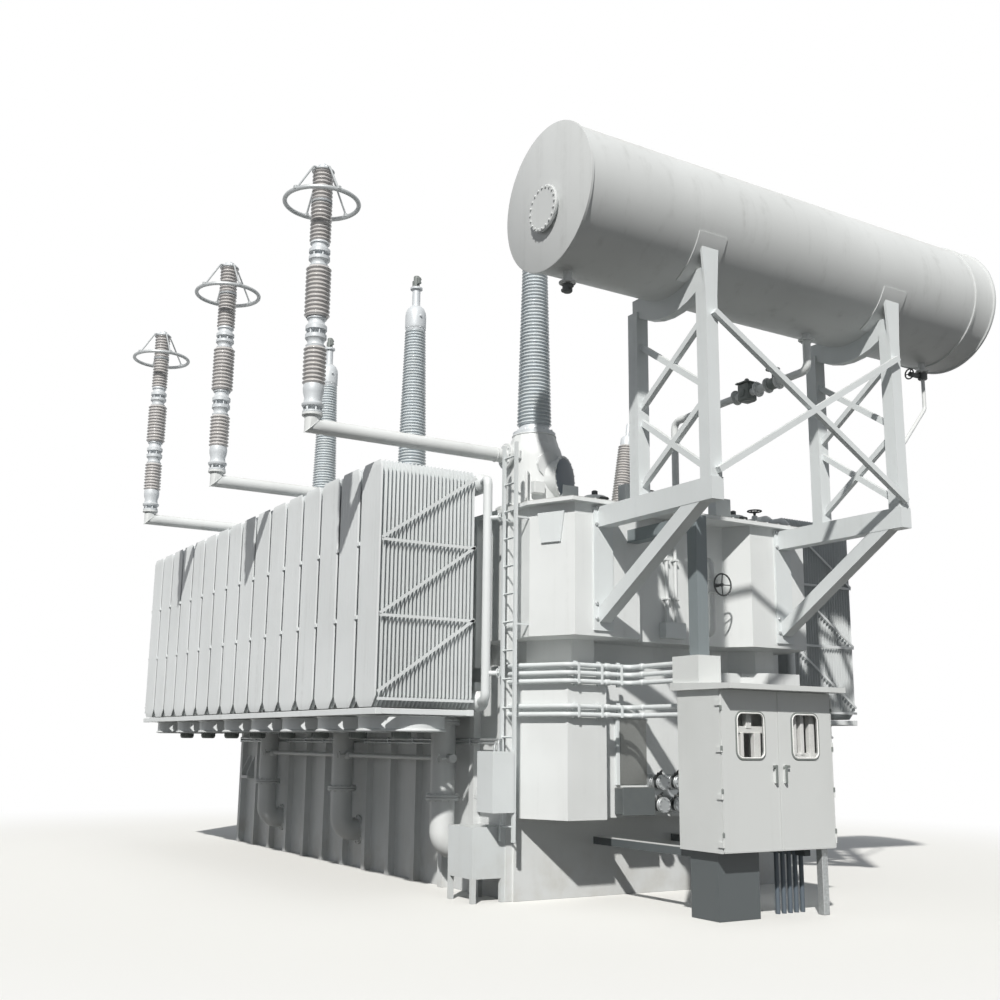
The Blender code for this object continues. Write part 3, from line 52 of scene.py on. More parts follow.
# Places of the part. Its long axis is X, and the conservator's end is the +X one.
WALL = 1.925                                # the long walls, at y = -WALL and WALL
TANK_END = 5.065                            # the flat columns of the upper tank's end
LOW_RECESS, HIGH_RECESS = 4.6453, 4.7857    # the walls between the columns, low and high
UPPER_LOW, UPPER_HIGH = 2.4606, 4.1706      # the upper tank's foot and top
COVER_TOP = 4.2159
SEAT = 0.0005                               # how far a fitting stands off its wall
RADIATORS = 3.855 - 0.56 * np.arange(16)
BANK_INNER, BANK_OUTER = 2.355, 3.525
BANK_LOW, BANK_HIGH = 1.97, 4.61
BANK_NEAR, BANK_FAR = 4.135, -4.825
HEADER_Y = 2.185
HEADER_LEVELS = (BANK_LOW + 0.10, BANK_HIGH - 0.10)
PIPES = (3.15, 0.35, -2.45)
RIBS = 0.70 * (np.arange(13) - 6)
FANS = 3.575 - 1.12 * np.arange(8)
FAN_Y = 2.94
PHASES, PHASE_Y = (4.015, 0.857, -2.301), -1.53
LV_PHASES, LV_Y = (1.635, -1.523, -4.681), 1.50
ARRESTER_Y = -4.30
DRUM_X, DRUM_Z, DRUM_RADIUS = 6.285, 6.8769, 0.731
DOOR_FACE = 6.5625
ALONG_X, ALONG_Y, TO_FRONT, UP, DOWN = (1, 0, 0), (0, 1, 0), (0, -1, 0), (0, 0, 1), (0, 0, -1)


# Surfaces. A shape is its points, its four-sided faces and its three-sided faces.
def shape(points, quads=(), triangles=()):
    return (np.asarray(points, float).reshape(-1, 3), np.asarray(quads, int).reshape(-1, 4),
            np.asarray(triangles, int).reshape(-1, 3))


def together(*items):
    """Several shapes as one: their points in a row, and each one's faces counted on."""
    starts = np.cumsum([0] + [len(item[0]) for item in items[:-1]])
    return (np.concatenate([item[0] for item in items]),
            *(np.concatenate([item[k] + start for item, start in zip(items, starts)]) for k in (1, 2)))


def woven(points, closed_rows=False):
    """The skin over a grid of points, rows by columns. The columns always close; the rows
    close too where the grid is a ring."""
    rows, columns = points.shape[:2]
    index = np.arange(rows * columns).reshape(rows, columns)
    index = np.hstack([index, index[:, :1]])
    if closed_rows:
        index = np.vstack([index, index[:1]])
    return shape(points, np.stack((index[:-1, :-1], index[:-1, 1:], index[1:, 1:], index[1:, :-1]), -1))


def capped(points):
    """A closed body from a stack of rings: the skin between them, and each end a fan from
    the ring's middle. The rings run anticlockwise seen from the last one."""
    rows, columns = points.shape[:2]
    skin, quads, _ = woven(points)
    count = rows * columns
    k = np.arange(columns)
    after = (k + 1) % columns
    first = np.stack([after, k, np.full(columns, count)], -1)
    last = np.stack([k + count - columns, after + count - columns, np.full(columns, count + 1)], -1)
    return shape(np.vstack([skin, points[0].mean(0), points[-1].mean(0)]), quads, np.vstack([first, last]))


def stacked(levels):
    """A closed body from flat outlines, each with its height, listed upwards."""
    return capped(np.array([np.column_stack([outline, np.full(len(outline), z)]) for outline, z in levels]))


def unit(vector):
    vector = np.asarray(vector, float)
    return vector / np.linalg.norm(vector, axis=-1, keepdims=True)


def facing(direction):
    """The turn that takes +Z to a direction: its columns are a side, the other side and
    the direction."""
    ahead = unit(direction)
    side = unit(np.cross(ALONG_Y if abs(ahead[2]) > 0.9 else UP, ahead))
    return np.stack([side, np.cross(ahead, side), ahead], 1)


def moved(item, at=(0, 0, 0), towards=None):
    points, quads, triangles = item
    if towards is not None:
        points = points @ facing(towards).T
    return points + np.asarray(at, float), quads, triangles


def copies(points, item):
    """A shape several times, from the points of every copy."""
    step = points.shape[1] * np.arange(len(points))[:, None, None]
    return shape(points, item[1] + step, item[2] + step)


def repeated(item, places):
    """Copies of a shape, each moved by one of the places."""
    return copies(item[0] + np.asarray(places, float).reshape(-1, 1, 3), item)


def in_row(item, places):
    """Copies of a shape along X."""
    return repeated(item, [(x, 0, 0) for x in places])


def spun(item, count, first=0.0):
    """Copies of a shape at equal angles round the Z axis."""
    angle = first + 2 * math.pi * np.arange(count)[:, None] / count
    cos, sin = np.cos(angle), np.sin(angle)
    x, y, z = item[0].T
    return copies(np.stack([cos * x - sin * y, sin * x + cos * y, z + 0 * cos], -1), item)


def mirrored(item):
    """The same shape on the other side of the tank: y changes sign, so each face is
    listed the other way round."""
    points, quads, triangles = item
    return points * (1.0, -1.0, 1.0), quads[:, ::-1], triangles[:, ::-1]


def both(item):
    return together(item, mirrored(item))


def lathe(profile, sides):
    """A body of revolution: a profile of (radius, height) carried round Z, so that
    x = r cos a, y = r sin a, z = h. The heights climb from end to end."""
    radius, height = np.asarray(profile, float).T[:, :, None]
    angle = 2 * math.pi * np.arange(sides) / sides
    return capped(np.stack([radius * np.cos(angle), radius * np.sin(angle), height + 0 * angle], -1))


def rod(start, end, radius, sides=28):
    """A round bar between two points, its edges cut back by 10 mm."""
    way = np.subtract(end, start)
    length = float(np.linalg.norm(way))
    profile = ((radius - 0.01, 0), (radius, 0.01), (radius, length - 0.01), (radius - 0.01, length))
    return moved(lathe(profile, sides), start, way)


def carried(radius, height, sides):
    """A closed profile carried round Z, by the same formula as the lathe's."""
    angle = 2 * math.pi * np.arange(sides)[:, None] / sides
    return woven(np.stack([np.cos(angle) * radius, np.sin(angle) * radius, height + 0 * angle], -1), True)


def hoop(radius, tube, sides, around=10):
    """A ring: a small circle carried round a large one."""
    small = 2 * math.pi * np.arange(around) / around
    return carried(radius + tube * np.cos(small), tube * np.sin(small), sides)


def circle(radius, sides):
    angle = 2 * math.pi * (np.arange(sides) + 0.5) / sides
    return np.stack([radius * np.cos(angle), radius * np.sin(angle)], -1)


def oblong(width, height, cut=0.0):
    """A rectangle whose corners are cut off by the same length both ways."""
    x, y = width / 2, height / 2
    if not cut:
        return np.array([(x, -y), (x, y), (-x, y), (-x, -y)])
    half = [(x, -y + cut), (x, y - cut), (x - cut, y), (-x + cut, y)]
    return np.array(half + [(-a, -b) for a, b in half])


def soft_oblong(width, height, radius, steps=6):
    """A rectangle with round corners, anticlockwise."""
    angle = np.arange(steps + 1) / steps * math.pi / 2
    arc = radius * np.stack([np.cos(angle), np.sin(angle)], -1)
    x, y = width / 2 - radius, height / 2 - radius
    back = arc[:, ::-1]
    return np.concatenate([arc + (x, y), back * (-1, 1) + (-x, y), -arc + (-x, -y), back * (1, -1) + (x, -y)])


def swept(path, outline, up=None, closed=False):
    """A flat outline carried along a path: at each point the outline's two ways lie
    across the path, one of them kept from turning."""
    path = np.asarray(path, float)
    if closed:
        ahead, behind = unit(np.roll(path, -1, 0) - path), unit(path - np.roll(path, 1, 0))
    else:
        step = unit(np.diff(path, axis=0))
        ahead, behind = np.vstack([step, step[-1:]]), np.vstack([step[:1], step])
    along = unit(ahead + behind)
    if up is None:
        first = facing(along[0])[:, 0]
        side = np.array(list(accumulate(along[1:], lambda s, t: unit(s - (s @ t) * t), initial=first)))
    else:
        side = unit(np.cross(np.asarray(up, float), along))
    over = np.cross(along, side)
    u, v = np.asarray(outline, float).T[:, None, :, None]
    rings = path[:, None] + side[:, None] * u + over[:, None] * v
    return woven(rings, True) if closed else capped(rings)


def bent(points, radius, steps=6):
    """A path whose inner corners are arcs, one arc of the given radius at each."""
    points = [np.asarray(p, float) for p in points]
    found = [points[0]]
    for before, corner, after in zip(points, points[1:], points[2:]):
        a, b = unit(before - corner), unit(after - corner)
        half = math.acos(max(-1.0, min(1.0, float(a @ b)))) / 2
        reach = radius / math.tan(half)
        middle = corner + unit(a + b) * radius / math.sin(half)
        start, end = corner + a * reach - middle, corner + b * reach - middle
        turn = math.pi - 2 * half
        share = np.linspace(0, 1, steps + 1)[:, None]
        arc = np.sin((1 - share) * turn) * start + np.sin(share * turn) * end
        found.extend(middle + arc / math.sin(turn))
    return np.array([*found, points[-1]])


def pipe(points, radius, bend=None, sides=20):
    return swept(bent(points, bend, 7) if bend else points, circle(radius, sides))


def bar(start, end, width, height, up=UP):
    return swept([start, end], oblong(width, height), up)


def block(low, high, cut=0.004):
    """A box with its edges and corners cut back: four rings, the end ones drawn in."""
    low, high = np.asarray(low, float), np.asarray(high, float)
    cut = min(cut, 0.3 * float((high - low).min()))
    middle = (low + high)[:2] / 2
    width, depth = (high - low)[:2]
    outer = middle + oblong(width, depth, cut)
    inner = middle + oblong(width - 2 * cut, depth - 2 * cut, cut / 2)
    return stacked(((inner, low[2]), (outer, low[2] + cut), (outer, high[2] - cut), (inner, high[2])))


def slab(outline, low, high, cut=0.003):
    """A flat plate: its outline stacked at four heights, the end ones drawn in a little."""
    outline = np.asarray(outline, float)
    middle = outline.mean(0)
    inner = middle + (outline - middle) * (1 - cut / np.abs(outline - middle).max())
    return stacked(((inner, low), (outline, low + cut), (outline, high - cut), (inner, high)))


def bolt(radius, height):
    """A hexagon head with a crowned top."""
    return lathe(((radius, 0), (radius, 0.8 * height), (0.8 * radius, height)), 6)


def bolts(radius, count, size, height, level=0.0):
    """A ring of bolt heads."""
    return spun(moved(bolt(size, height), (radius, 0, level)), count)


def flange(at, way, radius, thickness, hub, count, size=0.014, sides=40):
    """A pipe's flange with its ring of bolts, at a point and facing a way."""
    disc = lathe(((radius - 0.004, 0), (radius, 0.004), (radius, thickness - 0.004),
                  (radius - 0.004, thickness)), sides)
    return moved(together(disc, bolts((radius + hub) / 2, count, size, 0.014, thickness)), at, way)


def flat_wheel(at, way, radius, sides, spokes):
    """A plain hand wheel: a hoop and its spokes."""
    spoke = bar((0, 0, 0), (radius, 0, 0), 0.010, 0.008)
    return moved(together(hoop(radius, 0.009, sides, 8), spun(spoke, spokes)), at, way)


def sheds(low, high, count, core, rim, core_top=None, rim_top=None):
    """The profile of a ribbed insulator: each shed leaves the core, slopes out under its
    lip, turns at the rim and slopes back up. Both radii may shrink towards the top."""
    share = np.array([-0.46, -0.12, -0.02, 0.06, 0.34])
    reach = np.array([0.0, 0.86, 1.0, 0.94, 0.12])
    pitch = (high - low) / count
    height = (low + pitch * (np.arange(count)[:, None] + 0.5 + share)).ravel()
    up = (height - low) / (high - low)
    inner = core + ((core_top or core) - core) * up
    outer = rim + ((rim_top or rim) - rim) * up
    radius = inner + (outer - inner) * np.tile(reach, count)
    return np.vstack([(inner[0], low), np.column_stack([radius, height]), (inner[-1], high)])


def piece(name, item, finish, body=BODY, replaces=(), smooth=38):
    """One object from a shape, with its finish and the body that it rides on."""
    points, quads, triangles = item
    mesh = bpy.data.meshes.new(name)
    mesh.vertices.add(len(points))
    mesh.vertices.foreach_set("co", points.astype(np.float32).ravel())
    corners = np.concatenate([quads.ravel(), triangles.ravel()]).astype(np.int32)
    sizes = np.repeat([4, 3], [len(quads), len(triangles)])
    mesh.loops.add(len(corners))
    mesh.loops.foreach_set("vertex_index", corners)
    mesh.polygons.add(len(sizes))
    mesh.polygons.foreach_set("loop_start", (np.cumsum(sizes) - sizes).astype(np.int32))
    mesh.update(calc_edges=True)
    mesh.shade_smooth()
    mesh.set_sharp_from_angle(angle=math.radians(smooth))
    mesh.materials.append(finish)
    thing = bpy.data.objects.new(name, mesh)
    SCENE.collection.objects.link(thing)
    if replaces:
        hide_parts(*replaces)
    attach(thing, body)


def dressed(rows, places):
    """The same pieces at several places. A row is a piece's name, shape, finish and slot,
    and where it stands in for a solid, that one's name and its own smooth angle. The slot
    is not used. A place is what is added to the names, and what is done to the shape."""
    for ending, turn in places:
        for name, item, finish, slot, *rest in rows:
            node, smooth = (*rest, 38)[:2] if rest else (None, 38)
            piece(f"{name}_{ending}", turn(item), finish,
                  replaces=(f"{node}_{ending}",) if node else (), smooth=smooth)


SIDES = (("front", lambda item: item), ("back", mirrored))


def phases(places, y, z=0.0):
    return [(number, lambda item, x=x: moved(item, (x, y, z))) for number, x in enumerate(places, 1)]


# Finishes
class Nodes:
    """A tree of shader nodes while it is made."""

    def __init__(self, owner):
        owner.use_nodes = True
        self.tree = owner.node_tree

    def node(self, kind, settings=None, inputs=None):
        node = self.tree.nodes.new(kind)
        for key, value in (settings or {}).items():
            setattr(node, key, value)
        for key, value in (inputs or {}).items():
            self.put(node.inputs[key], value)
        return node

    def put(self, socket, value):
        value = value.socket if isinstance(value, Term) else value
        if isinstance(value, bpy.types.NodeSocket):
            self.tree.links.new(value, socket)
        else:
            socket.default_value = value

    def seen(self):
        """1 for the rays of the camera, of a mirror and of a clear pane, and 0 for others."""
        path = self.node("ShaderNodeLightPath").outputs
        share = Term(self, path["Is Camera Ray"])
        for way in ("Is Glossy Ray", "Is Transmission Ray"):
            share = share.joined("MAXIMUM", Term(self, path[way]))
        return share


class Term:
    """A number that varies over a surface: the operators add Math nodes."""

    def __init__(self, nodes, socket):
        self.nodes = nodes
        self.socket = socket

    def joined(self, operation, other, turned=False):
        first, second = (other, self) if turned else (self, other)
        node = self.nodes.node("ShaderNodeMath", {"operation": operation}, {0: first, 1: second})
        return Term(self.nodes, node.outputs[0])

    def __add__(self, other):
        return self.joined("ADD", other)

    def __mul__(self, other):
        return self.joined("MULTIPLY", other)

    def __rsub__(self, other):
        return self.joined("SUBTRACT", other, True)

    __radd__, __rmul__ = __add__, __mul__

    def between(self, low, high):
        """0 below the low value, 1 above the high one, and a smooth climb between."""
        node = self.nodes.node("ShaderNodeMapRange", {"interpolation_type": "SMOOTHSTEP"},
                               {"Value": self, "From Min": low, "From Max": high})
        return Term(self.nodes, node.outputs[0])


class Finish(Nodes):
    """A material while it is made."""

    def __init__(self, name):
        self.material = bpy.data.materials.new(name)
        super().__init__(self.material)
        self.shader = self.tree.nodes["Principled BSDF"]
        spot = self.node("ShaderNodeTexCoord").outputs
        self.place = spot["Object"]
        self.height, self.up = (
            Term(self, self.node("ShaderNodeSeparateXYZ", {}, {0: way}).outputs["Z"])
            for way in (self.place, spot["Normal"])
        )

    def noise(self, scale, detail=3.0, stretch=(1, 1, 1)):
        spread = self.node("ShaderNodeMapping", {}, {"Vector": self.place, "Scale": stretch})
        cloud = self.node("ShaderNodeTexNoise", {}, {"Vector": spread.outputs[0], "Scale": scale,
                                                     "Detail": detail, "Roughness": 0.55})
        return Term(self, cloud.outputs[0])

    def blend(self, share, first, second):
        return self.node("ShaderNodeMix", {"data_type": "RGBA"}, {0: share, 6: first, 7: second}).outputs[2]

    def bump(self, height, strength, distance):
        return self.node("ShaderNodeBump", {}, {"Height": height, "Strength": strength,
                                                "Distance": distance}).outputs[0]

    def out(self, **values):
        for key, value in values.items():
            self.put(self.shader.inputs[key.replace("_", " ")], value)
        return self.material


def tone(red, green, blue):
    """A colour from its screen values, 0 to 255, as the shader wants it."""
    part = np.array([red, green, blue]) / 255
    part = np.where(part <= 0.04045, part / 12.92, ((part + 0.055) / 1.055) ** 2.4)
    return (*part.tolist(), 1.0)


DUST = tone(176, 170, 156)
SOOT = tone(120, 122, 118)


def sprayed(name, colour, gloss=0.42, streaking=0.5, dust=0.35, splash=0.35, foot=None):
    """Sprayed paint outdoors: a slow mottle, rain streaks that run down, dust on what
    faces up, splashed dirt near the ground, and the fine skin of the spray. A foot is a
    level and the colour below it."""
    f = Finish(name)
    slow = f.noise(0.8)
    fine = f.noise(11.0, 5.0)
    rain = f.noise(1.0, 4.0, (6.5, 6.5, 0.30))
    colour = f.blend(slow.between(0.35, 0.7) * 0.10, colour, SOOT)
    colour = f.blend(rain.between(0.52, 0.78) * fine.between(0.2, 0.8) * streaking * 0.30, colour, SOOT)
    lying = f.up.between(0.55, 0.95) * fine.between(0.25, 0.75) * dust
    colour = f.blend(lying, colour, DUST)
    low = (1 - f.height.between(0.05, 0.75)) * f.noise(3.0, 5.0).between(0.35, 0.75) * splash
    colour = f.blend(low, colour, DUST)
    if foot:
        level, below = foot
        colour = f.blend(f.height.between(level - 0.004, level + 0.004), below, colour)
    return f.out(Base_Color=colour, Roughness=gloss + fine * 0.12 + lying * 0.3,
                 Normal=f.bump(f.noise(140.0, 2.0) + slow * 3.0, 0.10, 0.0015))


def glazed(name, colour, dark):
    """Fired porcelain: a glossy glaze with a darker random mottle, painted shade on the faces
    that look down under the sheds, and a grey film of dirt on the tops of the sheds."""
    f = Finish(name)
    film = f.up.between(0.1, 0.9) * f.noise(9.0, 4.0).between(0.3, 0.7) * 0.45
    colour = f.blend(f.noise(5.0).between(0.3, 0.7) * 0.22, colour, dark)
    # Painted shade: the faces that look down, under the sheds, are blended towards the darker grey.
    colour = f.blend((1 - f.up.between(-0.9, -0.1)) * 0.35, colour, dark)
    return f.out(Base_Color=f.blend(film, colour, DUST), Roughness=0.20 + film * 0.5, Coat_Weight=0.35)


def zinc(name, colour, metal=0.55):
    """Hot-dip zinc gone dull: crystal patches of two greys and a rough, cloudy shine."""
    f = Finish(name)
    cells = f.node("ShaderNodeTexVoronoi", {}, {"Vector": f.place, "Scale": 55.0})
    patch = Term(f, f.node("ShaderNodeSeparateColor", {}, {0: cells.outputs["Color"]}).outputs[0])
    cloud = f.noise(3.0, 4.0)
    return f.out(Base_Color=f.blend(patch * 0.25 + cloud * 0.25, colour, SOOT), Metallic=metal,
                 Roughness=0.42 + patch * 0.12 + cloud * 0.12)


def plain(name, colour, gloss=0.5, metal=0.0, grain=30.0, depth=0.25):
    """A cast, moulded or rolled surface: one colour with a fine mottle and a little dust."""
    f = Finish(name)
    fine = f.noise(grain, 4.0)
    dusty = f.up.between(0.5, 0.95) * f.noise(7.0, 4.0).between(0.3, 0.8) * 0.5
    colour = f.blend(dusty, f.blend(fine * depth, colour, SOOT), DUST)
    return f.out(Base_Color=colour, Metallic=metal, Roughness=gloss + fine * 0.15,
                 Normal=f.bump(fine, 0.15, 0.001))


def glass(name):
    """A thin dusty pane, darker than what it shows."""
    f = Finish(name)
    film = f.noise(14.0, 4.0).between(0.35, 0.8)
    return f.out(Base_Color=f.blend(film * 0.2, tone(30, 38, 40), DUST), Roughness=0.05 + film * 0.12,
                 Alpha=0.05 + film * 0.05)


CLEAN = tone(224, 227, 227)
CABINET = (tone(214, 217, 216), 0.38, 0.35, 0.25, 0.2)
TANK_PAINT = sprayed("tank_paint", CLEAN)
# The lid's top is a darker grey than its rim: partly dust lying on it, and partly painted shade that tones
# down the lamp on the top. Its rim is as clean as the tank.
COVER_PAINT = sprayed("cover_paint", tone(193, 194, 191), 0.60, 0.8, 0.35, 0.3, (COVER_TOP - 0.006, CLEAN))
DRUM_PAINT = sprayed("conservator_paint", tone(208, 211, 211), 0.45, 0.9, 0.4)
BANK_PAINT = sprayed("radiator_paint", tone(222, 226, 227), 0.40, 0.8, 0.3)
FRAME_PAINT = sprayed("frame_paint", tone(219, 224, 225), 0.42, 0.5, 0.3)
CABINET_PAINT = sprayed("cabinet_paint", *CABINET)
# The cabinet's body is painted dark below its floor: painted shade under the cabinet.
BODY_PAINT = sprayed("cabinet_body_paint", *CABINET, (0.629, tone(88, 94, 96)))
# The wireway is painted dark grey above 2.499: painted shade on it. Below, its foot box keeps a pale colour.
WIREWAY_PAINT = sprayed("wireway_paint", tone(128, 137, 140), 0.42, 0.5, 0.2, 0.2,
                        (2.499, tone(217, 220, 219)))
DARK_PAINT = sprayed("motor_paint", tone(120, 126, 124), 0.5, 0.4, 0.4)
PORCELAIN = glazed("porcelain", tone(203, 211, 215), tone(167, 177, 184))
BROWN_PORCELAIN = glazed("arrester_porcelain", tone(196, 194, 193), tone(150, 148, 149))
CAST_METAL = plain("cast_metal", tone(186, 190, 192), 0.40, 0.55)
ZINC = zinc("galvanised", tone(188, 192, 194))
WORN_ZINC = zinc("worn_zinc", tone(160, 164, 166), 0.45)
JOINT_GREY = plain("joint_grey", tone(212, 217, 221), 0.40, 0.15, 18.0, 0.18)
STEEL = plain("plate_steel", tone(150, 152, 150), 0.42, 0.6, 60.0)
# Dark slate blue. On the port lids it is painted shade.
SLATE = plain("slate_blue", tone(84, 96, 108), 0.45, 0.0, 12.0, 0.3)
# Dark grey. On the end boxes it is painted shade of the recess under the bare plate.
BOX_GREY = plain("box_grey", tone(92, 98, 100), 0.5, 0.0, 12.0, 0.3)
BLACK_IRON = plain("fan_black", tone(62, 66, 68), 0.5, 0.2)
DUCT = plain("duct_plastic", tone(244, 245, 243), 0.45, 0.0, 45.0, 0.08)
PANE = glass("pane_glass")


# Radiator banks. A plate's corners are cut, more at the foot than at the top.
PLATE_WIDTH, PLATE_HEIGHT = 0.515, BANK_HIGH - BANK_LOW - 0.02
CUT_LOW, CUT_HIGH = 0.115, 0.085


def inner_plate():
    """A pressed plate that shows its edge: thin at the welded seam and thicker inside it, as
    four outlines stacked across its thickness."""
    x, z = PLATE_WIDTH / 2, PLATE_HEIGHT / 2
    low, high = 0.9 * CUT_LOW, 0.7 * CUT_HIGH
    outline = np.array([(x, -z + CUT_LOW), (x, z - CUT_HIGH), (x - high, z), (-x + high, z),
                        (-x, z - CUT_HIGH), (-x, -z + CUT_LOW), (-x + low, -z), (x - low, -z)])
    inner = outline * (1 - 0.016 / x, 1 - 0.016 / z)
    levels = ((inner, 0.0075), (outline, 0.002), (outline, -0.002), (inner, -0.0075))
    return capped(np.array([np.insert(o, 1, y, axis=1) for o, y in levels]))


def outer_plate(channels=7):
    """The plate that shows its face: the same outline, its face pressed into shallow
    channels that run up it, as a grid of columns and rows that narrows with the corners."""
    across = np.linspace(-1, 1, 6 * channels + 1)
    up = np.concatenate([[0, 0.012, 0.03], np.linspace(0.045, 0.955, 20), [0.97, 0.988, 1]])[:, None]
    low, high = up * PLATE_HEIGHT, (1 - up) * PLATE_HEIGHT
    half = PLATE_WIDTH / 2 - 0.9 * np.clip(CUT_LOW - low, 0, None) - 0.7 * np.clip(CUT_HIGH - high, 0, None)
    edge = np.minimum(1, (1 - np.abs(across)) * PLATE_WIDTH / 2 / 0.022)
    near = np.minimum(low, high)
    groove = 0.5 - 0.5 * np.cos(across * math.pi * channels)
    swell = 0.002 + np.sqrt(edge * np.clip(near / 0.05, 0, 1)) * 0.009
    front = 0.0022 * groove * np.clip((near - 0.10) / 0.10, 0, 1) * edge - swell
    x, z = half * across, low - PLATE_HEIGHT / 2 + 0 * across
    face, rear = np.stack([x, front, z], -1), np.stack([x, swell, z], -1)
    return capped(np.concatenate([face, rear[:, ::-1]], 1))


def bank_plates():
    depth = BANK_INNER + (BANK_OUTER - BANK_INNER) / 25 * (np.arange(25) + 0.5)
    middle = (BANK_LOW + BANK_HIGH) / 2
    return together(
        repeated(inner_plate(), [(x, -y, middle) for x in RADIATORS for y in depth[:-1]]),
        repeated(outer_plate(), [(x, -depth[-1] - 0.008, middle) for x in RADIATORS]))


def bank_pipes():
    """What carries the plates: two collectors through each radiator, the headers along the
    tank with their flanges, the riser, the pipes to the tank, vent plugs and tie clips."""
    y, near = -HEADER_Y, BANK_NEAR - 0.17
    bottom, top = HEADER_LEVELS
    neck = lathe(((0.105, 0), (0.092, 0.03), (0.054, 0.07), (0.05, 0.09)), 28)
    found = []
    for level in HEADER_LEVELS:
        stub = together(pipe([(0, y, level), (0, 0.02 - BANK_OUTER, level)], 0.042, sides=14),
                        flange((0, y - 0.115, level), TO_FRONT, 0.085, 0.02, 0.042, 6, 0.010, 20))
        found += [in_row(stub, RADIATORS), moved(neck, (near - 0.005, y, level), ALONG_X),
                  rod((near, y, level), (BANK_FAR + 0.02, y, level), 0.11)]
    x, out = BANK_NEAR + 0.085, -2.27
    found.append(pipe([(near, y, top), (x, out, top), (x, out, bottom), (near, y, bottom)], 0.05, 0.085))
    for level in (4.06, 2.36):
        found += [rod((x, out, level), (x + 0.12, out + 0.10, level), 0.026, 16),
                  flange((x + 0.10, out + 0.083, level), (0.77, 0.64, 0), 0.05, 0.014, 0.02, 4, 0.007, 24)]
    seats = (((0, -WALL - SEAT, 3.89), TO_FRONT, 0.03), ((0, y, 4.20), UP, 0.024),
             ((0, y, 4.198), DOWN, 0.024))
    branch = together(pipe([(0, y, top), (0, y, 3.89), (0, -WALL, 3.89)], 0.09, 0.12, 28),
                      *(flange(at, way, 0.14, thickness, 0.09, 8, 0.012, 36) for at, way, thickness in seats))
    plug = lathe(((0.014, -0.03), (0.014, 0.012), (0.020, 0.012), (0.020, 0.026), (0.012, 0.030)), 10)
    plug = moved(plug, (0, 0.05 - BANK_OUTER, BANK_HIGH - 0.03))
    clip = block((-0.035, -BANK_OUTER - 0.006, -0.022), (0.035, 0.010 - BANK_OUTER, 0.022), 0.003)
    gaps = (RADIATORS[:-1] + RADIATORS[1:]) / 2
    return together(*found, in_row(branch, PIPES), in_row(plug, RADIATORS),
                    repeated(clip, [(x, 0, z) for x in gaps for z in (3.735, 2.935)]))


def bank_straps():
    """Three level straps and three slanting ones on each end of a bank."""
    spans = ((3.735, 4.51), (2.935, 3.735), (2.13, 2.935), (3.72, 3.72), (2.92, 2.92), (2.06, 2.06))
    return together(*(bar((x, 0.015 - BANK_OUTER, low), (x, -BANK_INNER - 0.015, high), 0.030, 0.008, ALONG_X)
                      for x in (BANK_NEAR + 0.006, BANK_FAR - 0.006) for low, high in spans))


dressed([("radiator_plates", bank_plates(), BANK_PAINT, "radiator_paint", "radiators", 50),
         ("radiator_pipes", bank_pipes(), BANK_PAINT, "radiator_paint"),
         ("radiator_straps", bank_straps(), BANK_PAINT, "radiator_paint")], SIDES)


# Fans, each made round the Z axis at its own height.
def fan_shroud():
    """The short drum round each fan, with a rolled lip."""
    wall = [(0.482, 1.732), (0.490, 1.738), (0.492, 1.748), (0.482, 1.758), (0.47, 1.765), (0.47, 1.885),
            (0.49, 1.899), (0.466, 1.899), (0.462, 1.885), (0.462, 1.765), (0.47, 1.742)]
    return carried(*np.array(wall[::-1]).T, 48)


def fan_guard():
    rings = [moved(hoop(r, 0.003, 36, 4), (0, 0, 1.735)) for r in np.linspace(0.13, 0.47, 7)]
    return together(*rings, spun(bar((0.09, 0, 1.731), (0.478, 0, 1.731), 0.006, 0.006), 12))


def fan_blades():
    """Six blades, each a thin sheet that twists as it goes out from the hub."""
    pitch = np.radians(np.linspace(42, 22, 6))[:, None]
    u, v = np.array([(-0.5, 0.5, 0.5, -0.5), (-0.003, -0.003, 0.003, 0.003)])
    u = u * np.linspace(0.13, 0.19, 6)[:, None]
    y, z = u * np.cos(pitch) - v * np.sin(pitch), u * np.sin(pitch) + v * np.cos(pitch)
    blade = np.stack([np.linspace(0.10, 0.44, 6)[:, None] + 0 * u, y, z], -1)
    hub = lathe(((0.10, -0.05), (0.11, -0.04), (0.11, 0.04), (0.10, 0.05)), 20)
    return moved(together(spun(capped(blade), 6), hub), (0, 0, 1.82))


def fan_motor():
    return together(
        lathe(((0.075, 1.652), (0.098, 1.660), (0.102, 1.675), (0.102, 1.765), (0.09, 1.775)), 24),
        spun(block((0.098, -0.003, 1.68), (0.108, 0.003, 1.76), 0.001), 16),
        spun(bar((0.09, 0, 1.745), (0.475, 0, 1.745), 0.012, 0.035), 4, math.pi / 4))


def fan_deck():
    """The frame under a bank: two rails along it and a cross rail between the fans."""
    inner, outer = -BANK_INNER - 0.04, 0.04 - BANK_OUTER
    rails = [block((BANK_FAR, y - 0.0375, 1.902), (BANK_NEAR, y + 0.0375, 1.968)) for y in (inner, outer)]
    places = [*(FANS[:-1] + FANS[1:]) / 2, BANK_NEAR - 0.034, BANK_FAR + 0.034]
    return together(*rails, in_row(block((-0.03, outer, 1.905), (0.03, inner, 1.965)), places))


def at_fans(item):
    return repeated(item, [(x, -FAN_Y, 0) for x in FANS])


dressed([("fan_decks", together(fan_deck(), at_fans(fan_shroud())), BANK_PAINT, "radiator_paint", "fans"),
         ("fan_guards", at_fans(fan_guard()), ZINC, "galvanised"),
         ("fan_blades", at_fans(fan_blades()), WORN_ZINC, "galvanised"),
         ("fan_motors", at_fans(fan_motor()), DARK_PAINT, "radiator_paint")], SIDES)

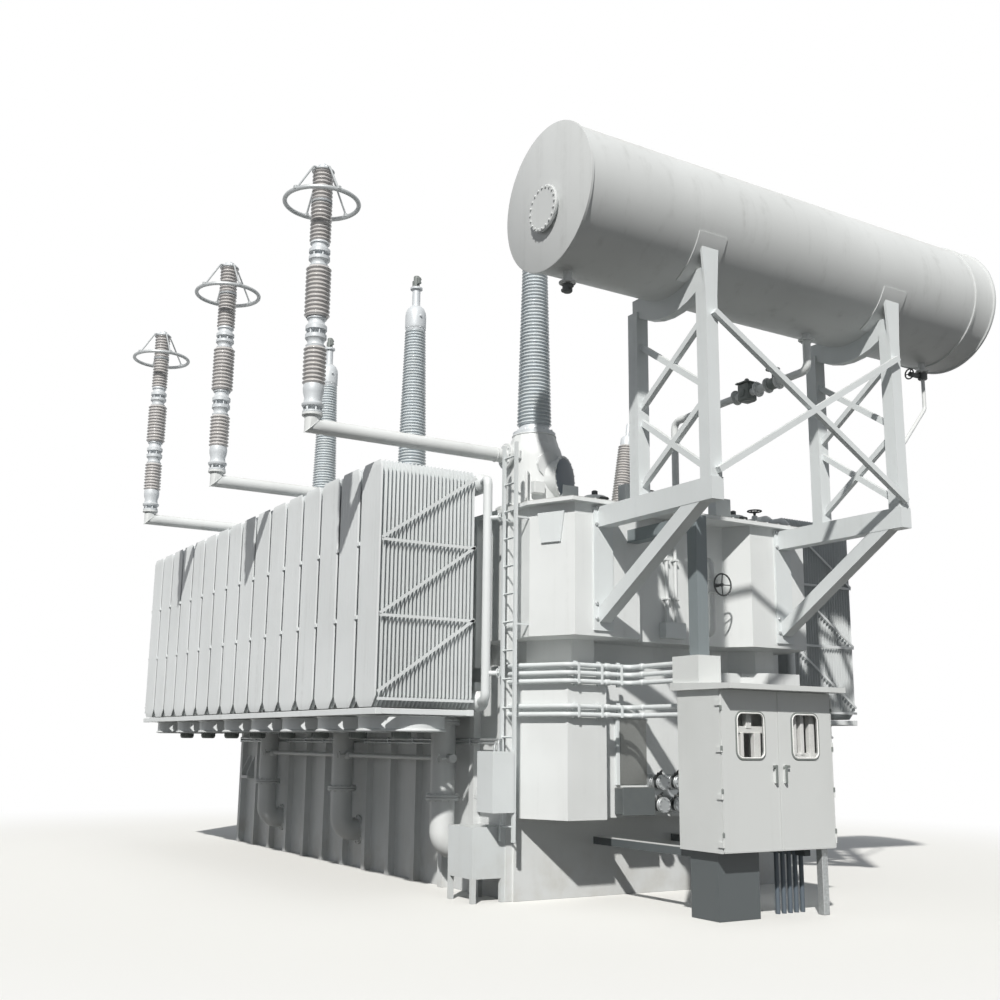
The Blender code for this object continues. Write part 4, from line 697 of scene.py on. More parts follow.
# Tall bushings and their turrets, round the Z axis. Each turret has a wide port.
PORT_WAY = (math.cos(math.radians(30)), 0.5, 0)
stud_bolts = [(x, 0.0215, z) for x in (-0.075, 0.075) for z in (8.13, 8.18)]
dressed([
    ("bushing_porcelain", lathe(sheds(5.262, 7.40, 50, 0.182, 0.205, 0.131, 0.150), 40), PORCELAIN,
     "porcelain", "hv_bushing", 60),
    ("bushing_fittings", together(
        lathe(((0.246, 5.1367), (0.25, 5.141), (0.25, 5.176), (0.246, 5.180)), 48),
        lathe(((0.19, 5.18), (0.192, 5.21), (0.178, 5.235), (0.170, 5.268)), 40),
        bolts(0.222, 12, 0.018, 0.02, 5.18),
        lathe(((0.118, 7.39), (0.140, 7.40), (0.140, 7.43), (0.147, 7.44), (0.150, 7.46), (0.150, 7.62),
               (0.144, 7.68), (0.118, 7.74), (0.080, 7.775), (0.062, 7.785)), 40),
        bolts(0.143, 10, 0.010, 0.012, 7.43),
        lathe(((0.06, 7.78), (0.058, 7.80), (0.058, 8.03), (0.088, 8.04), (0.088, 8.065), (0.05, 8.075)), 28),
        bolts(0.072, 6, 0.009, 0.012, 8.065),
        rod((0.145, 0, 7.60), (0.175, 0, 7.60), 0.02, 12)), JOINT_GREY, "galvanised"),
    ("bushing_stud", together(
        lathe(((0.045, 8.07), (0.045, 8.235), (0.038, 8.2465)), 24),
        block((-0.10, -0.022, 8.105), (0.10, 0.022, 8.205), 0.006),
        repeated(moved(bolt(0.014, 0.014), towards=ALONG_Y), stud_bolts)), DARK_PAINT, "galvanised"),
    ("turret_trim", together(
        bolts(0.415, 24, 0.018, 0.022, 4.2662),
        moved(hoop(0.292, 0.007, 48, 8), (0, 0, 4.270)),
        lathe(((0.345, 4.2665), (0.345, 4.285), (0.334, 4.290), (0.334, 4.84), (0.331, 4.89), (0.320, 4.94),
               (0.303, 4.985), (0.282, 5.025), (0.262, 5.055), (0.252, 5.09), (0.251, 5.130)), 64),
        moved(hoop(0.253, 0.008, 40, 8), (0, 0, 5.132)),
        moved(together(lathe(((0.235, 0.18), (0.235, 0.372), (0.262, 0.376), (0.265, 0.380), (0.265, 0.395),
                              (0.262, 0.399)), 48), bolts(0.250, 20, 0.010, 0.010, 0.398)),
              (0, 0, 4.60), PORT_WAY),
        spun(block((0.30, -0.012, 4.80), (0.385, 0.012, 4.90), 0.006), 3, math.radians(60)),
        pipe([(0.22, -0.25, 4.30), (0.36, -0.33, 4.30), (0.36, -0.33, 4.62), (0.24, -0.22, 4.62)],
             0.012, 0.03, 10),
        block((0.30, -0.24, 4.38), (0.39, -0.10, 4.52), 0.006)), TANK_PAINT, "tank_paint"),
    # The port lid is painted dark slate blue: painted shade on a lid that faces away from the lamp.
    ("port_lid", moved(lathe(((0.234, 0.396), (0.236, 0.398), (0.236, 0.404), (0.215, 0.412),
                              (0.08, 0.418)), 48), (0, 0, 4.60), PORT_WAY), SLATE, "tank_paint"),
], phases(PHASES, PHASE_Y))

# Arresters, measured from their foot. Each ribbed unit: height, length, rim radius, sheds.
FOOT = 4.9865
UNITS = ((0.31, 0.41, 0.125, 9), (1.06, 0.565, 0.137, 12), (1.915, 0.45, 0.116, 10), (2.395, 0.355, 0.114, 8))


def arrester_joint(low, high, wide=0.108):
    """The metal between two units: a bell, a gap with through bolts, and a bell turned over.
    Its radius swells and draws in along the height, the same above and below the middle."""
    middle, half = (low + high) / 2, (high - low) / 2
    share = half * np.array([1.0, 0.86, 0.80, 0.66, 0.52, 0.42, 0.40, 0.16, 0.14])
    reach = wide * np.array([0.92, 0.98, 0.84, 0.80, 0.88, 1.02, 1.06, 1.06, 0.60])
    ends = [(0.86 * wide, 0, middle + side * 0.3 * half) for side in (-1, 1)]
    return together(lathe([*zip(reach, middle - share), *zip(reach[::-1], middle + share[::-1])], 36),
                    spun(rod(*ends, 0.009, 8), 6))


def arrester_metal():
    """The seat, the joints between the units and the top plate with its lug."""
    joints = [arrester_joint(up + length - 0.003, above + 0.003)
              for (up, length, _, _), (above, *_) in zip(UNITS, UNITS[1:])]
    return together(
        lathe(((0.100, 0), (0.105, 0.005), (0.105, 0.024), (0.060, 0.032), (0.060, 0.062), (0.110, 0.070),
               (0.118, 0.085), (0.118, 0.10), (0.098, 0.115), (0.092, 0.16), (0.108, 0.22), (0.112, 0.27),
               (0.106, 0.312)), 36),
        bolts(0.090, 6, 0.010, 0.046, 0.024), *joints,
        lathe(((0.098, 2.745), (0.102, 2.751), (0.102, 2.773), (0.060, 2.785), (0.055, 2.819),
               (0.03, 2.828)), 32),
        bolts(0.082, 8, 0.010, 0.022, 2.773), block((-0.05, -0.014, 2.775), (0.05, 0.014, 2.828), 0.003))


def corona_ring():
    """The hoop round the top unit, hung on four stays in two pairs: each leaves the top
    plate, leans out and comes down to the hoop."""
    level, top = 2.38, 2.7585
    path = bent([(0.07, 0, top), (0.15, 0, top), (0.392, 0, level + 0.02)], 0.05)
    stay = together(swept(path, circle(0.011, 10)),
                    block((0.37, -0.02, level - 0.005), (0.43, 0.02, level + 0.035)))
    return together(moved(hoop(0.40, 0.0245, 72, 12), (0, 0, level)),
                    moved(hoop(0.115, 0.010, 32, 8), (0, 0, top - 0.01)),
                    spun(stay, 2, math.radians(3)), spun(stay, 2, math.radians(115)))


def arm_tube():
    """The round arm from a turret to its arrester: level, then turned up by a mitred elbow,
    with the flange at the turret, the weld round the cut and the seat under the arrester."""
    level, sides = -0.1303, 32
    across, over = circle(0.08, sides).T
    rings = [np.column_stack([across, y + 0 * across, z + 0 * across]) for y, z in
             ((2.39, level + over), (0.10, level + over), (over, level + over), (over, -0.0205))]
    points, *faces = hoop(0.0815, 0.005, sides, 6)
    weld = points @ np.array([(1, 0, 0), (0, 1, 1), (0, 0, 1)]) + (0, 0, level)
    return together(
        capped(np.array(rings)), (weld, *faces),
        moved(hoop(0.082, 0.006, sides, 8), (0, 2.24, level), ALONG_Y),
        flange((0, 2.3997, level), TO_FRONT, 0.15, 0.03, 0.08, 8, 0.012, 36),
        lathe(((0.106, -0.0283), (0.110, -0.0245), (0.110, -0.0045), (0.106, -0.0003)), 36))


units = together(*(lathe(sheds(up, up + length, count, rim - 0.020, rim), 36)
                   for up, length, rim, count in UNITS))
dressed([("arrester_units", units, BROWN_PORCELAIN, "arrester_porcelain", "surge_arrester", 60),
         ("arrester_fittings", arrester_metal(), JOINT_GREY, "galvanised"),
         ("corona_ring", corona_ring(), CAST_METAL, "galvanised"),
         ("arm_tube", arm_tube(), TANK_PAINT, "tank_paint", "arrester_arm")],
        phases(PHASES, ARRESTER_Y, FOOT))


# Short bushings, which lean off their turrets.
def leaning(*items):
    lean = math.radians(7.5)
    return moved(together(*items), (0, 0, 4.8032), (0, math.sin(lean), math.cos(lean)))


dressed([
    ("low_bushing_porcelain", leaning(lathe(sheds(0.085, 1.195, 27, 0.130, 0.155, 0.103, 0.125), 36)),
     BROWN_PORCELAIN, "arrester_porcelain", "lv_bushing", 60),
    ("low_turret", together(
        lathe(((0.336, 4.2166), (0.34, 4.220), (0.34, 4.255), (0.336, 4.2592), (0.262, 4.2592), (0.26, 4.27),
               (0.26, 4.79), (0.252, 4.822), (0.22, 4.834)), 44),
        bolts(0.305, 18, 0.016, 0.02, 4.259)), TANK_PAINT, "tank_paint"),
    ("low_bushing_fittings", leaning(
        lathe(((0.216, 0.0), (0.22, 0.004), (0.22, 0.046), (0.216, 0.05), (0.135, 0.052),
               (0.128, 0.088)), 40),
        bolts(0.19, 10, 0.014, 0.016, 0.05),
        lathe(((0.092, 1.19), (0.10, 1.20), (0.10, 1.30), (0.08, 1.335), (0.05, 1.34)), 32),
        lathe(((0.03, 1.335), (0.03, 1.55), (0.024, 1.559)), 20),
        block((-0.05, -0.010, 1.42), (0.05, 0.010, 1.55), 0.003)), JOINT_GREY, "galvanised"),
], phases(LV_PHASES, LV_Y))


# Conservator, with its drains, hatch and lugs
DRUM_BOTTOM = DRUM_Z - DRUM_RADIUS


def conservator():
    """The long drum, a profile carried round its axis: a rim at each end, a raised band near
    the far one, the plain wall between them, and flat ends."""
    r, near, far = DRUM_RADIUS, -2.86, 3.01
    drum = lathe(
        ((r + 0.012, near), (r + 0.020, near + 0.004), (r + 0.020, near + 0.028), (r + 0.003, near + 0.036),
         (r, near + 0.045), (r, near + 0.05), (r, -1.5), (r, 0.0), (r, 1.5), (r, far - 0.364),
         (r, far - 0.36), (r + 0.016, far - 0.355), (r + 0.016, far - 0.325), (r, far - 0.32),
         (r, far - 0.316), (r, far - 0.045), (r + 0.003, far - 0.036), (r + 0.020, far - 0.028),
         (r + 0.020, far - 0.004), (r + 0.012, far)), 112)
    return moved(drum, (DRUM_X, 0, DRUM_Z), ALONG_Y)


def hatch():
    """The bolted cover of the manhole in the near end."""
    cover = lathe(((0.19, 0.0), (0.20, 0.004), (0.20, 0.028), (0.232, 0.030), (0.235, 0.034),
                   (0.235, 0.054), (0.228, 0.060)), 56)
    return moved(together(cover, bolts(0.212, 20, 0.013, 0.014, 0.059)), (DRUM_X, -2.858, 6.745), TO_FRONT)


def conservator_trim():
    """Lifting lugs on the drum, the two drains under it, and the plate between the drum and
    each horn, bent to the drum: an arc carried round it."""
    x, z = DRUM_X, DRUM_BOTTOM
    lug = slab([(-0.09, -0.04), (0.09, -0.04), (0.09, 0.03), (0.035, 0.10), (-0.035, 0.10), (-0.09, 0.03)],
               -0.012, 0.012)
    top = math.degrees(math.asin((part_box("left_trestle")[1].z - DRUM_Z) / DRUM_RADIUS))
    angle = np.radians(np.linspace(top - 34, top + 9, 12))
    arc = np.column_stack([x + 0.735 * np.cos(angle), 0 * angle, DRUM_Z + 0.735 * np.sin(angle)])
    return together(
        *(moved(lug, (x, y, DRUM_Z + 0.745), ALONG_X) for y in (-2.0, 2.15)),
        pipe([(x, -2.62, z + 0.03), (x, -2.62, z - 0.10)], 0.045),
        flange((x, -2.62, z - 0.10), DOWN, 0.085, 0.02, 0.045, 6, 0.010, 24),
        pipe([(x, 2.55, z + 0.03), (x, 2.55, z - 0.16)], 0.04),
        flange((x, 2.55, z - 0.09), DOWN, 0.08, 0.02, 0.04, 6, 0.010, 24),
        pipe([(x, 2.55, z - 0.18), (x, 2.55, 5.58), (x + 0.30, 1.55, 4.72)], 0.022, 0.08, 12),
        *(swept(arc + (0, y, 0), oblong(0.014, 0.36), ALONG_Y) for y in (-1.325, 1.325)))


def drain_valves():
    x, z = DRUM_X, DRUM_BOTTOM
    return together(
        rod((x, -2.62, z - 0.125), (x, -2.62, z - 0.21), 0.05, 20),
        rod((x - 0.09, -2.62, z - 0.165), (x + 0.09, -2.62, z - 0.165), 0.022, 14),
        rod((x, 2.55, z - 0.115), (x, 2.55, z - 0.20), 0.055, 20),
        rod((x - 0.02, 2.50, z - 0.155), (x - 0.02, 2.34, z - 0.155), 0.030, 14),
        flat_wheel((x - 0.02, 2.34, z - 0.155), ALONG_Y, 0.06, 24, 3))


piece("drain_valves", drain_valves(), BLACK_IRON)
piece("conservator_drum", conservator(), DRUM_PAINT,
      replaces=("conservator_shell", "conservator_near_end", "conservator_far_end"))
piece("conservator_hatch", hatch(), DRUM_PAINT)
piece("conservator_trim", conservator_trim(), TANK_PAINT)


# Oil pipes under the banks
def down_pipes():
    """Under each header: a throttle valve between two flanges, the wide pipe with its smooth
    bend, its flange on the tank, and the small drain line that ties the three."""
    y = -HEADER_Y
    one = together(
        pipe([(0, y, 1.97), (0, y, 0.48), (0, -WALL, 0.48)], 0.14, 0.17, 32),
        flange((0, -WALL - SEAT, 0.48), TO_FRONT, 0.19, 0.03, 0.14, 12),
        *(flange((0, y, z), way, 0.19, 0.026, 0.14, 12) for level in (1.86, 1.02)
          for z, way in ((level, UP), (level - 0.004, DOWN))),
        rod((0, y - 0.13, 1.81), (0, y - 0.20, 1.81), 0.030, 16),
        bar((-0.02, y - 0.19, 1.81), (0.15, y - 0.19, 1.81), 0.025, 0.012),
        rod((0.10, y, 1.45), (0.24, y, 1.45), 0.052, 18),
        rod((0.17, y - 0.02, 1.45), (0.17, y - 0.14, 1.45), 0.018, 12),
        moved(hoop(0.045, 0.007, 24, 8), (0.17, y - 0.14, 1.45), ALONG_Y))
    return together(in_row(one, PIPES), pipe([(PIPES[0], y, 1.45), (PIPES[-1], y, 1.45)], 0.03, sides=16))


dressed([("down_pipes", down_pipes(), TANK_PAINT, "tank_paint", "oil_pipes")], SIDES)

# Gas relay and its pipe, which leaves the conservator, falls gently through the relay and
# drops to the cover.
RUN, FALL, RUN_Y, RUN_TOP, RUN_LEVEL = 2.30, 0.03, 0.62, 6.1456, 5.7256


def on_run(share):
    return np.array([DRUM_X - RUN * share, RUN_Y, RUN_LEVEL - RUN * share * FALL])


def relay_line():
    near, far = on_run(0), on_run(1)
    ways = ((0.345, 1), (0.495, -1), (0.20, 1), (0.265, -1), (0.72, 1), (0.728, -1))
    return together(
        pipe([(*near[:2], RUN_TOP), near, far, (*far[:2], 4.2165)], 0.045, 0.10, 24),
        *(flange(on_run(share), (way, 0, way * FALL), 0.09, 0.02, 0.045, 8, 0.009, 32)
          for share, way in ways),
        flange((*far[:2], 4.2166), UP, 0.09, 0.02, 0.045, 8, 0.010, 32),
        flange((*near[:2], RUN_TOP - 0.06), DOWN, 0.09, 0.02, 0.045, 8, 0.010, 32))


def relay_castings():
    """The relay's cast body with its lid, small window and vent, and the shut-off valve."""
    body = together(
        block((-0.085, -0.085, -0.10), (0.085, 0.085, 0.115), 0.018),
        block((-0.10, -0.10, 0.115), (0.10, 0.10, 0.132), 0.006),
        spun(moved(bolt(0.009, 0.010), (0.112, 0, 0.132)), 4, math.pi / 4),
        lathe(((0.028, 0.13), (0.028, 0.17), (0.018, 0.185)), 16),
        moved(lathe(((0.05, 0), (0.05, 0.012), (0.04, 0.018)), 24), (0, -0.085, 0), TO_FRONT))
    valve = lathe(((0.05, -0.066), (0.068, -0.03), (0.068, 0.03), (0.05, 0.066)), 24)
    at = on_run(0.2325)
    return together(moved(body, on_run(0.42)), moved(valve, at, (-1, 0, -FALL)),
                    rod(at + (0, 0, 0.05), at + (0, 0, 0.17), 0.016, 12),
                    flat_wheel(at + (0, 0, 0.17), UP, 0.075, 28, 4))


piece("relay_line", relay_line(), TANK_PAINT, replaces=("relay_pipe",))
piece("relay_castings", relay_castings(), DARK_PAINT)


# Upper tank and the trim of all the tank
def tank_plan(end, column_end, inset=0.0):
    """The plan of the tank at one height: from the long wall round the sloped corner, over
    the flat column and down its side to the recess, then the same turned over twice. The
    inset draws in the long walls and the corners with them."""
    quarter = np.array([(end - 0.52, inset - WALL), (end, inset - 1.685), (end, -column_end),
                        (end - 0.28, 0.18 - column_end)])
    half = np.vstack([quarter, quarter[::-1] * (1, -1)])
    return np.vstack([half, -half])


def upper_tank():
    """The tank above the ledge, as a stack of plans: it stands on the lower tank, draws in
    under a flat soffit and steps out to its full plan. Its ribs are on both long walls."""
    low, drawn, full = tank_plan(4.925, 1.185), tank_plan(4.705, 1.185, 0.20), tank_plan(TANK_END, 0.825)
    body = stacked(((low, UPPER_LOW), (low, 2.466), (drawn, 2.476), (drawn, 2.735), (full, 2.750),
                    (full, UPPER_HIGH)))
    rib = block((-0.05, -WALL - 0.09, UPPER_LOW), (0.05, -WALL + 0.02, UPPER_HIGH), 0.006)
    return together(body, both(in_row(rib, RIBS)))


def laid(item, first, second, third, at):
    """A shape with its own X, Y and Z laid along three given ways."""
    return item[0] @ np.array([first, second, third], float) + at, *item[1:]


def tank_trim():
    """Bolts along the cover's edge, and on each long side two lifting lugs and two jacking
    pads, each a thick block under two gussets."""
    edge = [(x, y) for y in (-1.955, 1.955) for x in np.arange(-4.50, 4.51, 0.18)]
    edge += [(x, y) for x in (-5.10, 5.10) for y in np.arange(-1.62, 1.63, 0.18)]
    edge += [(sx * (4.58 + 0.13 * n), sy * (1.955 - 0.06 * n))
             for sx in (-1, 1) for sy in (-1, 1) for n in range(4)]
    web = slab([(0, 0), (0.15, 0), (0.15, 0.05), (0.03, 0.32), (0, 0.32)], -0.009, 0.009, 0.002)
    webs = in_row(laid(web, TO_FRONT, UP, ALONG_X, (0, -WALL - SEAT, 1.07)), (-0.13, 0.13))
    pad = block((-0.17, -WALL - 0.16, 1.02), (0.17, -WALL - SEAT, 1.07), 0.006)
    lug = slab([(-0.10, 0), (0.10, 0), (0.10, 0.07), (0.045, 0.15), (-0.045, 0.15), (-0.10, 0.07)],
               -0.014, 0.014)
    lug = laid(lug, ALONG_X, UP, TO_FRONT, (0, -1.80, COVER_TOP))
    return together(repeated(bolt(0.014, 0.018), [(*place, COVER_TOP) for place in edge]),
                    both(together(in_row(together(pad, webs), (-3.85, 3.85)), in_row(lug, (-3.0, 3.0)))))


piece("upper_tank_shell", upper_tank(), TANK_PAINT, replaces=("upper_tank",), smooth=20)
piece("tank_trim", tank_trim(), TANK_PAINT)


# Conduits of the near end
def conduit_runs():
    """The round conduits: past the ladder, round the sloped corner and out to the cabinet,
    with their couplings, locknuts and strut clamps."""
    found, x, y = [], 4.985, -0.915
    upper_end, lower_end = 5.8817, 5.9117
    for z, end in ((2.4403, upper_end), (2.3553, upper_end), (2.2703, upper_end), (2.0103, lower_end),
                   (1.9253, lower_end)):
        route = [(4.2503, -1.985, z), (4.4182, -1.985, z), (x, -1.7234, z), (x, y, z), (end, y, z)]
        found += [pipe(route, 0.026, 0.10, 18), rod((x, -1.25, z), (x, -1.18, z), 0.033, 18),
                  *(rod((at - 0.035, y, z), (at + 0.035, y, z), 0.033, 18) for at in (5.20, end - 0.05))]
    for low, high in ((2.225, 2.485), (1.88, 2.055)):
        clamp = together(block((4.9255, -0.02, low), (4.958, 0.02, high), 0.003),
                         block((5.008, -0.016, low + 0.02), (5.016, 0.016, high - 0.02), 0.002))
        found.append(repeated(clamp, [(0, y, 0) for y in (-1.60, -1.30, -1.04)]))
    return together(*found)


piece("conduit_runs", conduit_runs(), FRAME_PAINT, replaces=("conduits",))


# Control cabinet. A door's own numbers: the middle of its pane, its grip, which way the
# grip's tip points, and its hinge.
def pane_bead(x, middle, width, height, radius, profile):
    """A closed bead round a pane: its profile carried round a rectangle with round corners."""
    path = np.insert(soft_oblong(width, height, radius) + (middle, 1.722), 0, x, axis=1)
    return swept(path, profile, ALONG_X, closed=True)


for name, middle, grip, way, hinge in (("left_door", -0.670, -0.368, -1, -1.0445),
                                       ("right_door", 0.060, -0.242, 1, 0.4345)):
    tip = sorted((grip, grip + 0.05 * way))
    barrel = rod((6.562, hinge, -0.030), (6.562, hinge, 0.030), 0.0115, 16)
    low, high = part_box(name)
    edge = [(DOOR_FACE - 0.001, y, z) for y, z in oblong(high.y - low.y - 0.028, high.z - low.z - 0.028)
            + ((low.y + high.y) / 2, (low.z + high.z) / 2)]
    for ending, item, finish, slot in (
        ("gasket", pane_bead(DOOR_FACE, middle, 0.36, 0.44, 0.07, oblong(0.030, 0.016, 0.005)),
         DARK_PAINT, "duct_plastic"),
        ("bead", pane_bead(DOOR_FACE + 0.003, middle, 0.345, 0.425, 0.064, oblong(0.014, 0.020, 0.004)),
         DUCT, "duct_plastic"),
        ("grip", together(block((6.585, grip - 0.0125, 1.269), (6.602, grip + 0.0125, 1.446)),
                          block((6.587, tip[0], 1.418), (6.601, tip[1], 1.443)),
                          rod((DOOR_FACE, grip, 1.42), (6.588, grip, 1.42), 0.021, 20)),
         DARK_PAINT, "plate_steel"),
        ("barrels", repeated(barrel, [(0, 0, z) for z in (0.80, 1.20, 1.60, 1.98)]),
         DARK_PAINT, "plate_steel"),
        ("fold", swept(edge, oblong(0.010, 0.003), ALONG_X, closed=True), CABINET_PAINT, "cabinet_paint"),
    ):
        piece(f"{name}_{ending}", item, finish, body=name)


def duct_rack():
    """What shows through the panes: upright wiring ducts, a shade thinner than the gaps
    between them, and two level ones, standing on the cabinet's floor."""
    level = ((-1.00, -0.20, 1.744, 1.811), (-0.14, 0.39, 1.500, 1.560))
    upright = ((-0.665, -0.595, 1.79, 2.145), (-0.735, -0.700, 0.665, 1.75), (-0.565, -0.480, 0.665, 1.75),
               (-0.95, -0.90, 0.665, 1.75), (-0.035, 0.010, 1.54, 2.145), (0.065, 0.110, 1.54, 2.145),
               (0.185, 0.255, 0.665, 2.145), (-0.12, -0.08, 0.665, 1.52))
    return together(*(block((back, low, bottom), (front, high, top), 0.003)
                      for back, front, rows in ((6.455, 6.492, level), (6.445, 6.500, upright))
                      for low, high, bottom, top in rows))


def cabinet_conduits():
    """Five conduits that rise from the ground into the cabinet's floor, with locknuts."""
    tube = together(pipe([(6.20, -0.04, 0.0), (6.20, -0.04, 0.629)], 0.024, sides=16),
                    rod((6.20, -0.04, 0.600), (6.20, -0.04, 0.628), 0.034, 8))
    return repeated(tube, [(0, 0.085 * n, 0) for n in range(5)])


def fan_supply():
    """Two thin conduits along the ribs under the bank, turned into the box at the ladder."""
    return together(
        *(pipe([(-4.22, -2.03, z), (4.20, -2.03, z), (end, -2.22, z), (end, -2.22, 1.5405)], 0.0135, 0.05, 12)
          for z, end in ((1.62, 4.34), (1.66, 4.42))),
        in_row(block((-0.012, -2.0460, 1.60), (0.012, -2.0155, 1.68), 0.003), RIBS))


piece("duct_rack", duct_rack(), DUCT)
piece("cabinet_conduits", cabinet_conduits(), SLATE)
piece("cabinet_leg", block((6.41, 0.30, 0.0), (6.49, 0.38, 0.630)), ZINC)
piece("fan_supply_front", fan_supply(), ZINC)


# Fittings of the near end
def wheel(at, way, radius):
    """A valve's hand wheel on its stem: a hoop, spokes that dish in, and the hub."""
    return moved(together(
        moved(hoop(radius, 0.010, 36, 8), (0, 0, 0.06)),
        spun(bar((0.012, 0, 0.045), (radius, 0, 0.06), 0.012, 0.008), 4),
        lathe(((0.014, 0.0), (0.020, 0.035), (0.020, 0.058), (0.010, 0.062)), 16)), at, way)


# Four small valves, two above two: neck, flange pair with bolts, a round body, a blank
# flange, and on each a stem with its bonnet leaning up.
valve_places = [(LOW_RECESS, y, z) for y in (-0.34, -0.10) for z in (0.98, 1.22)]
valve_metal = together(
    rod((0.005, 0, 0), (0.185, 0, 0), 0.048, 20),
    *(flange((reach, 0, 0), (way, 0, 0), 0.085, 0.016, 0.05, 8, 0.009, 28)
      for reach, way in ((0.028, 1), (0.075, -1), (0.150, 1), (0.178, 1))))
valve_body = together(
    moved(lathe(((0.052, 0), (0.070, 0.018), (0.070, 0.055), (0.052, 0.070)), 20), (0.078, 0, 0), ALONG_X),
    rod((0.113, 0, 0.05), (0.113, 0, 0.108), 0.032, 16), rod((0.113, 0, 0.10), (0.165, 0, 0.135), 0.012, 12))
valve_plate = block((LOW_RECESS, -0.43, 0.895), (LOW_RECESS + 0.02, -0.01, 1.305), 0.003)
piece("end_valves", together(valve_plate, repeated(valve_metal, valve_places)), CAST_METAL,
      replaces=("valve_group",))
piece("end_valve_bodies", repeated(valve_body, valve_places), BLACK_IRON)


END_SEAT = LOW_RECESS + 0.0004
CORNER_X, CORNER_Y = 0.9080, 0.4191         # the way of the tank's sloped corner


def end_boxes():
    """The deep box under the bare plate, and its lid, dark grey: painted shade of the recess under the plate.
    """
    return together(block((END_SEAT, -0.88, 0.885), (4.80, -0.46, 1.165), 0.006),
                    block((4.7995, -0.89, 0.875), (4.812, -0.45, 1.175)))


def end_plates():
    """The flat frame beside the bare plate, a small junction box in the upper recess, and a
    pad on the sloped corner, turned to its slope."""
    pad = slab([(-0.17, 0.17), (-0.12, -0.17), (0.12, -0.17), (0.17, 0.17)], SEAT, 0.024, 0.004)
    points, quads, triangles = laid(pad, (CORNER_X, CORNER_Y, 0), UP, (CORNER_Y, -CORNER_X, 0),
                                    (4.80, -1.8073, 3.92))
    return together(block((END_SEAT, -0.865, 1.19), (4.672, -0.815, 1.93)),
                    block((END_SEAT, -0.865, 1.905), (4.672, -0.43, 1.935)),
                    block((HIGH_RECESS, -0.33, 2.80), (4.90, -0.03, 2.98), 0.006),
                    (points, quads[:, ::-1], triangles[:, ::-1]))


def end_pipes():
    """Two upright conduits in the recess, saddles on them, and the oil line that leaves the
    recess and comes back, with its flanges and a valve."""
    x, y, wall = 4.97, 0.30, HIGH_RECESS
    one = together(pipe([(4.83, 0, 2.97), (4.83, 0, 4.165)], 0.021, sides=16),
                   *(block((wall, -0.035, z - 0.012), (4.856, 0.035, z + 0.012), 0.003)
                     for z in (3.25, 3.70, 4.05)))
    return together(
        repeated(one, [(0, -0.25, 0), (0, -0.12, 0)]),
        pipe([(wall, y, 3.72), (x, y, 3.72), (x, y, 2.88), (wall, y, 2.88)], 0.042, 0.08),
        *(flange((wall + SEAT, y, z), ALONG_X, 0.09, 0.018, 0.042, 8, 0.009, 28) for z in (3.72, 2.88)),
        *(flange((x, y, z), way, 0.085, 0.018, 0.042, 8, 0.009, 28) for z, way in ((3.50, DOWN), (3.34, UP))),
        moved(lathe(((0.045, -0.08), (0.066, -0.05), (0.066, 0.05), (0.045, 0.08)), 20), (x, y, 3.42)))


bracket_places = [(5.0905, side * 1.325 + off, z) for side in (-1, 1) for off in (-0.098, 0.098)
                  for z in (4.13, 3.95, 3.09, 2.93)]
piece("end_boxes", end_boxes(), BOX_GREY)
piece("end_plates", end_plates(), FRAME_PAINT)
piece("end_pipes", end_pipes(), TANK_PAINT)
piece("end_hand_wheel", together(rod((5.03, 0.30, 3.42), (5.10, 0.30, 3.42), 0.020, 14),
                                 wheel((5.095, 0.30, 3.42), ALONG_X, 0.125)), BLACK_IRON)
piece("bracket_bolts", repeated(moved(bolt(0.020, 0.018), towards=ALONG_X), bracket_places), ZINC)


# Fittings on the cover, measured from its top
def cover_fittings():
    """Two pressure relief valves with their hoods, five valves on their pipes and three
    junction boxes on their feet: what is painted, and what is dark."""
    relief = [(4.55, -1.05, 0), (4.55, 1.05, 0)]
    light = [repeated(together(
        lathe(((0.19, SEAT), (0.19, 0.025), (0.15, 0.03), (0.145, 0.12), (0.165, 0.125), (0.165, 0.15),
               (0.12, 0.175), (0.04, 0.18)), 40), bolts(0.170, 10, 0.012, 0.016, 0.025)), relief)]
    dark = [repeated(together(lathe(((0.035, 0.175), (0.035, 0.235), (0.02, 0.245)), 20),
                              block((0.12, -0.05, 0.06), (0.21, 0.05, 0.14), 0.01)), relief)]
    for x, y, height in ((4.62, -0.35, 0.24), (4.70, 0.15, 0.30), (4.40, 1.55, 0.26), (3.2, -0.60, 0.22),
                         (-0.7, -0.60, 0.22)):
        light += [flange((x, y, SEAT), UP, 0.085, 0.018, 0.04, 8, 0.009, 28),
                  rod((x, y, 0), (x, y, height), 0.038, 18),
                  flange((x, y, 0.6 * height), UP, 0.075, 0.016, 0.038, 8, 0.008, 28)]
        dark.append(wheel((x, y, height), UP, 0.085))
    box = together(block((-0.07, -0.12, 0.06), (0.07, 0.12, 0.30), 0.006),
                   *(block((-0.02, y - 0.02, SEAT), (0.02, y + 0.02, 0.07), 0.003) for y in (-0.09, 0.09)))
    light.append(repeated(box, [(4.78, -0.72, 0), (4.78, 0.62, 0), (4.35, -1.30, 0)]))
    return [moved(together(*items), (0, 0, COVER_TOP)) for items in (light, dark)]


cover_light, cover_dark = cover_fittings()
piece("cover_fittings", cover_light, FRAME_PAINT)
piece("cover_valves", cover_dark, BLACK_IRON)

